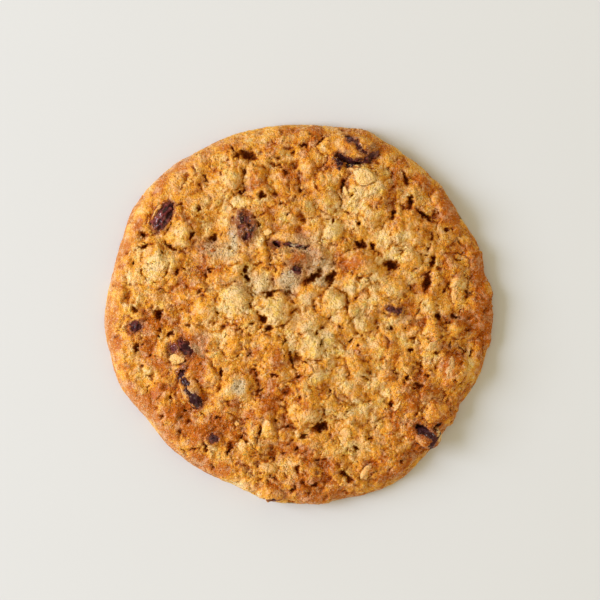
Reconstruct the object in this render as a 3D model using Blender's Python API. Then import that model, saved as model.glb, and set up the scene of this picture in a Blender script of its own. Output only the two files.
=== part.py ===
"""Oatmeal raisin cookie, lying on its flat baked underside.

One solid of baked dough carries thirteen raisins, each a solid of its own in a socket that the dough
leaves for it. Units are metres, +Z is up, and the origin is on the underside below the cookie's middle.

The dough's crust is a flat sheet that is wrapped over the cookie: a point's distance from the middle of
the sheet is its way along the crust, from the crown, over the shoulder and down the rim to the foot.
"""

import math

import bmesh
import bpy
from mathutils import Matrix, Vector

MM = 0.001

# Driving dimensions of the baked disc.
MEAN_RADIUS = 44.8 * MM
SHOULDER_HEIGHT = 5.6 * MM
CROWN_RISE = 4.8 * MM
CROWN_FLATNESS = 2.2
RIM_WIDTH = 4.4 * MM
RIM_ARC = 7.6 * MM
FOOT_HEIGHT = 1.2 * MM
FOOT_TUCK = math.radians(14)
SHARP_ANGLE = math.radians(60)
SHEET_SPACING = 1.75 * MM

# A raisin's socket stands off its skin by this much.
SOCKET_GAP = 0.35 * MM
RAISIN_RIDGES = 5
RAISIN_RIDGE_DEPTH = 0.10
RAISIN_TWIST = 1.5
RAISIN_TAPER = 0.14

# Where the spreading dough bulged or lagged: bearing in degrees, spread in degrees, swell in mm.
OUTLINE_SWELLS = (
    (3, 5, 0.6),
    (20, 6, 0.9),
    (50, 14, 0.6),
    (70, 7, 1.5),
    (114, 7, 0.4),
    (129, 7, 0.8),
    (144, 12, 1.5),
    (183, 10, 1.0),
    (200, 6, 0.6),
    (216, 9, -1.3),
    (233, 12, -1.3),
    (249, 9, -1.7),
    (300, 9, 1.1),
    (327, 8, -1.3),
    (343, 7, 0.5),
    (354, 5, 0.9),
)

# Broad rises and dips of the crust: x, y, spread and rise in mm.
UNDULATIONS = (
    (-2, 10, 7, -1.6),
    (-22, 9, 6, -0.9),
    (-15, 2, 7, 0.8),
    (14, 29, 9, 0.9),
    (28, 19, 7, 0.8),
    (31, 8, 4, -0.9),
    (-9, -8, 7, 0.6),
    (2, -23, 8, 0.8),
    (34, -16, 7, 1.0),
    (-31, 17, 7, 0.6),
    (-13, 33, 7, 0.7),
    (-25, -25, 7, 0.5),
)

# Lumps of dough that stand on the crust: x, y, length, width, turn in degrees, rise, in mm.
LUMPS = (
    (9.8, 39.6, 9.0, 5.2, -8, 2.6),
    (15.2, 12.2, 8.0, 6.0, -12, 2.0),
    (16.5, 31.0, 11.0, 8.5, 20, 1.4),
    (26.5, 19.5, 9.0, 8.0, 30, 1.6),
    (-15.6, 32.6, 5.2, 6.4, 0, 1.6),
    (-10.4, 32.4, 5.0, 6.6, 0, 1.5),
    (-27.6, 18.2, 6.4, 6.8, 20, 1.5),
    (-34.0, 12.0, 6.6, 8.2, -10, 1.4),
    (-15.0, 3.0, 8.0, 7.6, 0, 1.3),
    (-5.2, 1.2, 8.0, 7.4, 0, 1.3),
    (7.6, 2.6, 7.6, 6.0, 20, 1.2),
    (-15.6, -6.2, 5.0, 7.0, 0, 1.5),
    (-8.0, -7.6, 7.4, 5.6, -25, 1.3),
    (2.8, -7.6, 7.0, 6.6, -30, 1.3),
    (1.4, -23.2, 8.6, 6.8, 30, 1.6),
    (-6.4, -27.2, 5.0, 5.0, 0, 1.4),
    (-22.4, -13.6, 6.0, 7.6, 30, 1.5),
    (-33.2, -11.4, 7.0, 6.0, 0, 1.2),
    (35.6, -13.8, 6.4, 9.6, -15, 1.6),
    (32.6, -22.8, 6.6, 5.6, 30, 1.5),
    (37.4, 5.4, 4.4, 8.6, -8, 1.3),
    (22.6, 6.6, 6.4, 5.6, 20, 1.2),
    (-0.6, 13.6, 8.4, 3.8, -6, 1.5),
)

# Holes and trenches in the crust: x, y, length, width, turn in degrees, depth, in mm.
PITS = (
    (-12.0, 37.3, 8.0, 3.8, -4, 2.0),
    (21.9, 11.4, 5.0, 4.4, -20, 2.6),
    (30.8, 8.2, 4.2, 9.0, 8, 2.2),
    (26.4, 27.6, 4.0, 9.0, 4, 2.0),
    (15.8, 16.4, 6.4, 3.8, -12, 2.0),
    (5.6, 8.6, 7.2, 4.2, 10, 2.2),
    (-7.5, -2.2, 4.0, 5.6, 35, 2.4),
    (-12.2, 9.4, 4.0, 5.4, 25, 2.0),
    (5.3, -26.2, 5.4, 4.0, 12, 2.4),
    (11.8, -38.2, 6.4, 3.8, -42, 2.0),
    (-32.7, 0.2, 4.0, 4.4, 10, 2.2),
    (-19.9, 18.0, 4.2, 4.0, 0, 1.8),
    (28.0, -16.6, 5.2, 3.8, 20, 1.6),
)

# Raisins: name, x, y, sink of its middle below the crust, length, width, height, turn and dip in degrees.
RAISINS = (
    ("raisin_north_west", -31.6, 23.0, 0.9, 8.4, 5.4, 4.4, 62, 6),
    ("raisin_north_middle", -12.4, 21.0, 1.5, 10.2, 5.8, 4.4, 96, 0),
    ("raisin_upper_centre", -1.6, 17.4, 1.7, 9.6, 4.4, 4.0, -8, 0),
    ("raisin_centre", -2.0, 8.9, 1.0, 7.6, 6.4, 4.4, 20, 0),
    ("raisin_north_rim", 13.4, 38.6, 0.7, 10.8, 6.4, 4.4, -6, 0),
    ("raisin_west_upper", -26.8, -8.0, 1.0, 7.0, 4.8, 4.2, -38, 5),
    ("raisin_west_lower", -25.0, -17.6, 1.3, 9.8, 4.8, 4.0, -64, 0),
    ("raisin_west_rim", -38.0, -2.7, 1.3, 4.6, 4.0, 3.6, 55, 0),
    ("raisin_east", 22.4, 1.3, 1.4, 5.0, 3.6, 3.4, -15, 0),
    ("raisin_east_rim", 30.6, -28.8, 0.6, 7.4, 5.2, 4.4, -20, 0),
    ("raisin_south_west", -19.9, -29.0, 1.3, 4.6, 3.8, 3.6, 20, 0),
    ("raisin_south_middle", -13.4, -16.8, 1.2, 4.8, 4.4, 3.6, 70, 0),
    ("raisin_south_rim", -6.4, -41.6, 1.6, 6.4, 4.4, 3.6, -12, 0),
)

DOUGH_COLOUR = (0.60, 0.30, 0.095, 1.0)
RAISIN_COLOUR = (0.050, 0.016, 0.014, 1.0)


def clear_scene():
    for old in list(bpy.data.objects):
        bpy.data.objects.remove(old)


def make_material(name, colour, roughness):
    material = bpy.data.materials.new(name)
    material.use_nodes = True
    shader = material.node_tree.nodes["Principled BSDF"]
    shader.inputs["Base Color"].default_value = colour
    shader.inputs["Roughness"].default_value = roughness
    shader.inputs["Metallic"].default_value = 0.0
    return material


def bearing_gap(bearing, other):
    """Degrees from one bearing to another, the short way round."""
    return abs((bearing - other + 180) % 360 - 180)


def outline_radius(bearing):
    """The cookie's radius at a bearing in degrees, counted from +X towards +Y."""
    swell = sum(
        rise * math.exp(-((bearing_gap(bearing, at) / spread) ** 2))
        for at, spread, rise in OUTLINE_SWELLS
    )
    return MEAN_RADIUS + swell * MM


def oval_distance(x, y, centre_x, centre_y, length, width, turn):
    """0 at an oval's middle and 1 on its edge."""
    angle = math.radians(turn)
    dx = x - centre_x * MM
    dy = y - centre_y * MM
    along = dx * math.cos(angle) + dy * math.sin(angle)
    across = dy * math.cos(angle) - dx * math.sin(angle)
    return math.hypot(along / (length * MM / 2), across / (width * MM / 2))


def undulation(x, y):
    return sum(
        rise * MM * math.exp(-((x - at_x * MM) ** 2 + (y - at_y * MM) ** 2) / (spread * MM) ** 2)
        for at_x, at_y, spread, rise in UNDULATIONS
    )


def relief(x, y):
    """How far lumps stand above the smooth crust, less how far pits go below it."""
    raised = 0.0
    for *oval, rise in LUMPS:
        away = oval_distance(x, y, *oval)
        if away < 1:
            raised = max(raised, rise * MM * math.sqrt(1 - away**2))
    sunk = 0.0
    for *oval, depth in PITS:
        away = oval_distance(x, y, *oval)
        if away < 1:
            sunk = max(sunk, depth * MM * (1 - away**2) * (1 + away**2))
    return raised - sunk


def crown_height(x, y):
    """Height of the smooth crust inside the shoulder."""
    share = min(1.0, math.hypot(x, y) / MEAN_RADIUS)
    return SHOULDER_HEIGHT + CROWN_RISE * (1 - share**CROWN_FLATNESS) + undulation(x, y)


def wrap(x, y):
    """Carries a point of the flat sheet onto the smooth crust. Returns its place and the normal there."""
    way = math.hypot(x, y)
    if way < 1e-9:
        return Vector((0, 0, crown_height(0, 0))), Vector((0, 0, 1))
    outward = Vector((x / way, y / way, 0))
    radius = outline_radius(math.degrees(math.atan2(y, x)))
    shoulder = radius - RIM_WIDTH
    if way <= shoulder:
        return Vector((x, y, crown_height(x, y))), Vector((0, 0, 1))
    turned = min(1.0, (way - shoulder) / RIM_ARC) * (math.pi / 2 + FOOT_TUCK)
    edge = outward * shoulder
    top = crown_height(edge.x, edge.y)
    drop = (top - FOOT_HEIGHT) if turned < math.pi / 2 else FOOT_HEIGHT / math.sin(FOOT_TUCK)
    height = FOOT_HEIGHT + drop * math.cos(turned)
    place = outward * (shoulder + RIM_WIDTH * math.sin(turned)) + Vector((0, 0, max(0.0, height)))
    return place, (outward * math.sin(turned) + Vector((0, 0, max(0.0, math.cos(turned))))).normalized()


def sheet_reach(x, y):
    """The sheet's own edge on the bearing of a point."""
    return outline_radius(math.degrees(math.atan2(y, x))) - RIM_WIDTH + RIM_ARC


def make_dough(material):
    """The dough's crust, wrapped from a square-meshed sheet, with a flat underside."""
    bm = bmesh.new()
    half = MEAN_RADIUS + RIM_ARC
    steps = round(2 * half / SHEET_SPACING)
    bmesh.ops.create_grid(bm, x_segments=steps, y_segments=steps, size=half)
    margin = SHEET_SPACING / 3
    outside = {v for v in bm.verts if v.co.xy.length > sheet_reach(v.co.x, v.co.y) - margin}
    beyond = [face for face in bm.faces if all(v in outside for v in face.verts)]
    bmesh.ops.delete(bm, geom=beyond, context="FACES")
    for vert in bm.verts:
        x, y, _ = vert.co
        if vert.is_boundary:
            outward = vert.co.xy.normalized() * sheet_reach(x, y)
            place, _ = wrap(outward.x, outward.y)
            vert.co = (place.x, place.y, 0)
            continue
        place, normal = wrap(x, y)
        vert.co = place + normal * relief(x, y) * min(1.0, place.z / SHOULDER_HEIGHT)
    underside = bmesh.ops.contextual_create(bm, geom=[e for e in bm.edges if e.is_boundary])["faces"]
    bmesh.ops.recalc_face_normals(bm, faces=bm.faces)
    bmesh.ops.triangulate(bm, faces=[f for f in bm.faces if f not in underside])
    mesh = bpy.data.meshes.new("dough")
    bm.to_mesh(mesh)
    bm.free()
    mesh.shade_smooth()
    mesh.set_sharp_from_angle(angle=SHARP_ANGLE)
    dough = bpy.data.objects.new("dough", mesh)
    bpy.context.collection.objects.link(dough)
    mesh.materials.append(material)
    return dough


def raisin_mesh(name, length, width, height, stand_off):
    """A raisin about its own middle: a drop whose skin has shrunk into ridges along it."""
    bm = bmesh.new()
    along_x = Matrix.Rotation(math.pi / 2, 4, "Y")
    bmesh.ops.create_uvsphere(bm, u_segments=3 * RAISIN_RIDGES, v_segments=6, radius=1, matrix=along_x)
    for vert in bm.verts:
        x, y, z = vert.co
        around = math.atan2(z, y)
        furrow = (0.5 + 0.5 * math.cos(RAISIN_RIDGES * around + RAISIN_TWIST * x)) * (1 - x * x)
        girth = (1 - RAISIN_RIDGE_DEPTH * furrow) * (1 - RAISIN_TAPER * x)
        vert.co = (x * length * MM / 2, y * girth * width * MM / 2, z * girth * height * MM / 2)
    bm.normal_update()
    skin = [(vert, vert.normal.copy()) for vert in bm.verts]
    for vert, normal in skin:
        vert.co += normal * stand_off
    mesh = bpy.data.meshes.new(name)
    bm.to_mesh(mesh)
    bm.free()
    mesh.shade_smooth()
    return mesh


def make_raisin(name, x, y, sink, length, width, height, turn, dip, dough, material):
    """A raisin sunk in the crust, and the hidden cutter that hollows its socket in the dough."""
    place, _ = wrap(x * MM, y * MM)
    place.z -= sink * MM
    turned = Matrix.Rotation(math.radians(turn), 4, "Z") @ Matrix.Rotation(math.radians(dip), 4, "Y")
    pieces = []
    for piece_name, stand_off in ((name, 0), (name + "_socket", SOCKET_GAP)):
        piece = bpy.data.objects.new(piece_name, raisin_mesh(piece_name, length, width, height, stand_off))
        bpy.context.collection.objects.link(piece)
        piece.matrix_world = Matrix.Translation(place) @ turned
        pieces.append(piece)
    raisin, cutter = pieces
    raisin.data.materials.append(material)
    cutter.hide_render = True
    cutter.display_type = "WIRE"
    cut = dough.modifiers.new(cutter.name, "BOOLEAN")
    cut.operation = "DIFFERENCE"
    cut.solver = "EXACT"
    cut.object = cutter


def main():
    clear_scene()
    crust = make_material("baked_dough", DOUGH_COLOUR, 0.75)
    skin = make_material("raisin_skin", RAISIN_COLOUR, 0.35)
    dough = make_dough(crust)
    for raisin in RAISINS:
        make_raisin(*raisin, dough, skin)


main()
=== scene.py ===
"""Oatmeal raisin cookie: its craggy baked crust, browned underside, raisins, rolled oats and crumbs.

The crust is a flat sheet wrapped over the cookie: a point's distance from the middle of the sheet is its way
along the crust, from the crown, over the shoulder and down the rim to the foot. Relief and browning are
worked out on a lattice over that sheet, and everything that lies on the crust is placed from the same lattice.
"""

import math
import random
from functools import cache
from types import SimpleNamespace

import bmesh
import bpy
import numpy as np
from mathutils import Matrix, Vector, noise


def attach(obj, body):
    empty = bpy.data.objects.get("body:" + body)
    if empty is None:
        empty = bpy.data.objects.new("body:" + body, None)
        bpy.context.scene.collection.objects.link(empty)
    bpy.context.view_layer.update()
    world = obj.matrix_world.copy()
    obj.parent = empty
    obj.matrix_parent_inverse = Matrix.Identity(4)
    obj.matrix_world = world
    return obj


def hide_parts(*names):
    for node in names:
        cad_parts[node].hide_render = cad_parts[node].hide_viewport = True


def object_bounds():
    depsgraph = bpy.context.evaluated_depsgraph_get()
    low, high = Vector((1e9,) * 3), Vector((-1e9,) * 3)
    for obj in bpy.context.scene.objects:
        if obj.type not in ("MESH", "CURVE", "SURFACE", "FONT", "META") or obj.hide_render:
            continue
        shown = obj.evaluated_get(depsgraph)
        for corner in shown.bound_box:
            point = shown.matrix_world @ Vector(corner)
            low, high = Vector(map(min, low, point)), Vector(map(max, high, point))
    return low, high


bl_info = {
    "name": "Oatmeal Raisin Cookie",
    "version": (1, 0, 0),
    "blender": (4, 5, 0),
    "location": "3D View > Sidebar > Cookie",
    "description": "Models and finishes a baked oatmeal raisin cookie over its packed solids",
    "category": "Object",
}

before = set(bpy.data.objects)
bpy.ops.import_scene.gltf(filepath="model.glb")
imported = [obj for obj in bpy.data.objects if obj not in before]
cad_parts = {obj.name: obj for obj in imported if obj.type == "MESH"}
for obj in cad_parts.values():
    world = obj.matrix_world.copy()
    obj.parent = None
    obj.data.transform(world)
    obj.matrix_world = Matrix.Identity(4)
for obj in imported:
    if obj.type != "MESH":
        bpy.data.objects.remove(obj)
CAD_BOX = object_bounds()

MM = 0.001

# The lattice over the flat sheet, in mm.
SHEET_SPACING = 0.29
SHEET_HALF = 53.0

# In the tables below x, y, length, width, spread, rise and depth are in mm, from the middle of the cookie, and
# a turn is in degrees from +X towards +Y.

# Where the spreading dough bulged or lagged: bearing and spread in degrees, and swell in mm.
OUTLINE_SWELLS = (
    (3, 5, 0.6),
    (20, 6, 0.9),
    (50, 14, 0.6),
    (70, 7, 1.5),
    (114, 7, 0.4),
    (129, 7, 0.8),
    (144, 12, 1.5),
    (183, 10, 1.0),
    (200, 6, 0.6),
    (216, 9, -1.3),
    (233, 12, -1.3),
    (249, 9, -1.7),
    (300, 9, 1.1),
    (327, 8, -1.3),
    (343, 7, 0.5),
    (354, 5, 0.9),
)

# Broad rises and dips of the crust: x, y, spread, rise.
UNDULATIONS = (
    (-2, 10, 7, -1.1),
    (-22, 9, 6, -0.9),
    (-15, 2, 7, 0.8),
    (14, 29, 9, 0.9),
    (28, 19, 7, 0.8),
    (31, 8, 4, -0.9),
    (-9, -8, 7, 0.6),
    (2, -23, 8, 0.8),
    (34, -16, 7, 1.0),
    (-31, 17, 7, 0.6),
    (-13, 33, 7, 0.7),
    (-25, -25, 7, 0.5),
    (-31.5, 23, 5.5, 0.6),
    (-12.3, 21, 5.5, 0.9),
)

# Lumps of dough: x, y, length, width, turn, rise, and how smooth and how browned each one is.
LUMPS = (
    (15.2, 12.2, 8.0, 6.0, -12, 1.9, 0.6, 0.34),
    (16.5, 31.0, 11.0, 8.5, 20, 1.3, 0.3, -0.06),
    (15.5, 32.6, 5.0, 3.8, -20, 1.9, 0.7, -0.20),
    (26.0, 20.4, 8.6, 7.4, 30, 1.5, 0.3, 0.08),
    (28.6, 18.0, 5.0, 4.4, 0, 1.6, 0.4, 0.02),
    (26.0, 13.0, 5.6, 5.0, 0, 1.4, 0.3, -0.10),
    (-15.6, 32.6, 5.2, 6.4, 0, 1.5, 0.5, -0.10),
    (-10.4, 32.4, 5.0, 6.6, 0, 1.5, 0.5, -0.04),
    (-13.2, 26.2, 5.6, 3.0, 6, 1.3, 0.7, -0.24),
    (-27.6, 18.2, 6.4, 6.8, 20, 1.4, 0.6, -0.16),
    (-34.0, 12.0, 6.6, 8.2, -10, 1.3, 0.3, -0.14),
    (-15.0, 3.0, 8.0, 7.6, 0, 1.2, 0.4, -0.26),
    (-5.2, 1.2, 8.0, 7.4, 0, 1.2, 0.3, -0.20),
    (7.6, 2.6, 7.6, 6.0, 20, 1.1, 0.4, -0.26),
    (-15.6, -6.2, 5.0, 7.0, 0, 1.4, 0.8, 0.16),
    (-8.0, -7.6, 7.4, 5.6, -25, 1.3, 0.6, 0.14),
    (2.8, -7.6, 7.0, 6.6, -30, 1.3, 0.4, -0.12),
    (1.4, -23.2, 8.6, 6.8, 30, 1.4, 0.5, 0.00),
    (-6.6, -27.0, 3.6, 4.8, -15, 1.6, 0.9, 0.10),
    (-2.8, -28.2, 4.4, 4.0, 20, 1.4, 0.7, 0.08),
    (-22.4, -13.6, 6.0, 7.6, 30, 1.3, 0.5, 0.10),
    (-33.2, -11.4, 7.0, 6.0, 0, 1.1, 0.6, 0.14),
    (-33.0, -19.0, 6.4, 5.4, 30, 0.9, 0.6, 0.12),
    (-24.0, -26.6, 8.0, 6.4, -30, 1.0, 0.5, 0.10),
    (9.4, 39.6, 9.0, 6.2, -5, 3.0, 0.8, 0.26),
    (35.6, -13.8, 6.4, 9.6, -15, 1.5, 0.8, 0.16),
    (32.6, -22.8, 6.6, 5.6, 30, 1.4, 0.7, 0.10),
    (37.6, 5.4, 4.4, 8.6, -8, 1.3, 0.3, -0.06),
    (22.6, 6.6, 6.4, 5.6, 20, 1.2, 0.2, -0.10),
    (17.4, 22.8, 6.0, 5.0, 20, 1.2, 0.3, -0.24),
    (33.6, 27.0, 4.0, 6.4, 20, 1.3, 0.4, 0.14),
    (-7.2, -35.8, 4.8, 3.6, 10, 1.3, 0.8, -0.02),
    (-0.6, 13.2, 8.0, 2.8, -6, 1.7, 0.7, 0.20),
    (16.6, -36.6, 4.4, 2.6, 50, 1.2, 0.8, -0.12),
    (-28.2, -10.4, 3.8, 2.4, 15, 1.4, 0.9, -0.20),
    (-8.2, 8.6, 5.0, 7.0, -15, 1.0, 0.4, -0.14),
    (-8.2, 15.0, 2.8, 7.8, 8, 1.8, 0.8, 0.02),
    (15.6, -2.4, 6.0, 4.6, 0, 0.9, 0.4, 0.08),
    (17.2, -7.6, 7.6, 6.4, 0, 1.1, 0.5, 0.04),
    (-12.8, -11.8, 6.0, 4.4, 20, 0.9, 0.4, 0.08),
    (-13.8, -17.0, 8.6, 7.6, 20, 1.6, 0.8, -0.06),
    (-5.0, -9.8, 3.2, 7.0, 10, 0.7, 0.9, 0.16),
    (-21.8, 0.6, 6.0, 6.6, 0, 1.1, 0.6, 0.04),
    (-38.0, 9.8, 5.4, 5.0, 0, 0.8, 0.7, -0.10),
    (24.6, -11.6, 5.6, 5.0, 0, 1.0, 0.3, 0.02),
    (31.4, -2.8, 4.2, 4.6, 0, 1.0, 0.4, -0.20),
    (36.8, -3.0, 4.4, 4.2, 0, 0.9, 0.4, 0.00),
    (13.0, -17.6, 8.0, 6.6, 0, 1.0, 0.4, 0.00),
    (12.0, -28.0, 7.6, 7.0, 0, 1.0, 0.4, 0.04),
    (20.4, -27.6, 7.0, 6.0, 30, 0.9, 0.3, 0.08),
    (-7.6, -21.6, 8.4, 4.6, 5, 0.8, 0.2, 0.04),
    (-12.6, -32.8, 5.0, 5.6, 0, 0.9, 0.4, 0.04),
    (-8.6, -40.2, 5.0, 3.4, -20, 0.8, 0.5, 0.00),
    (-31.0, -22.2, 3.2, 7.6, 5, 0.8, 0.7, 0.02),
    (-26.6, -30.0, 6.0, 3.2, -15, 0.7, 0.5, -0.02),
    (-37.4, 23.4, 3.6, 5.4, 20, 0.6, 0.8, -0.14),
    (-28.4, 27.8, 4.0, 4.2, 0, 0.7, 0.7, -0.14),
    (7.0, 31.4, 5.6, 5.6, 0, 1.1, 0.4, -0.04),
    (-4.6, 31.4, 5.4, 6.6, 10, 1.0, 0.4, -0.02),
    (2.4, 34.0, 3.4, 5.4, 0, 0.9, 0.3, 0.02),
    (7.2, 26.4, 5.6, 4.8, 0, 0.9, 0.4, -0.08),
    (8.4, 19.6, 5.0, 6.0, 0, 0.8, 0.4, -0.16),
    (-5.6, 38.6, 5.6, 4.0, 0, 0.9, 0.5, 0.10),
)

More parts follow.
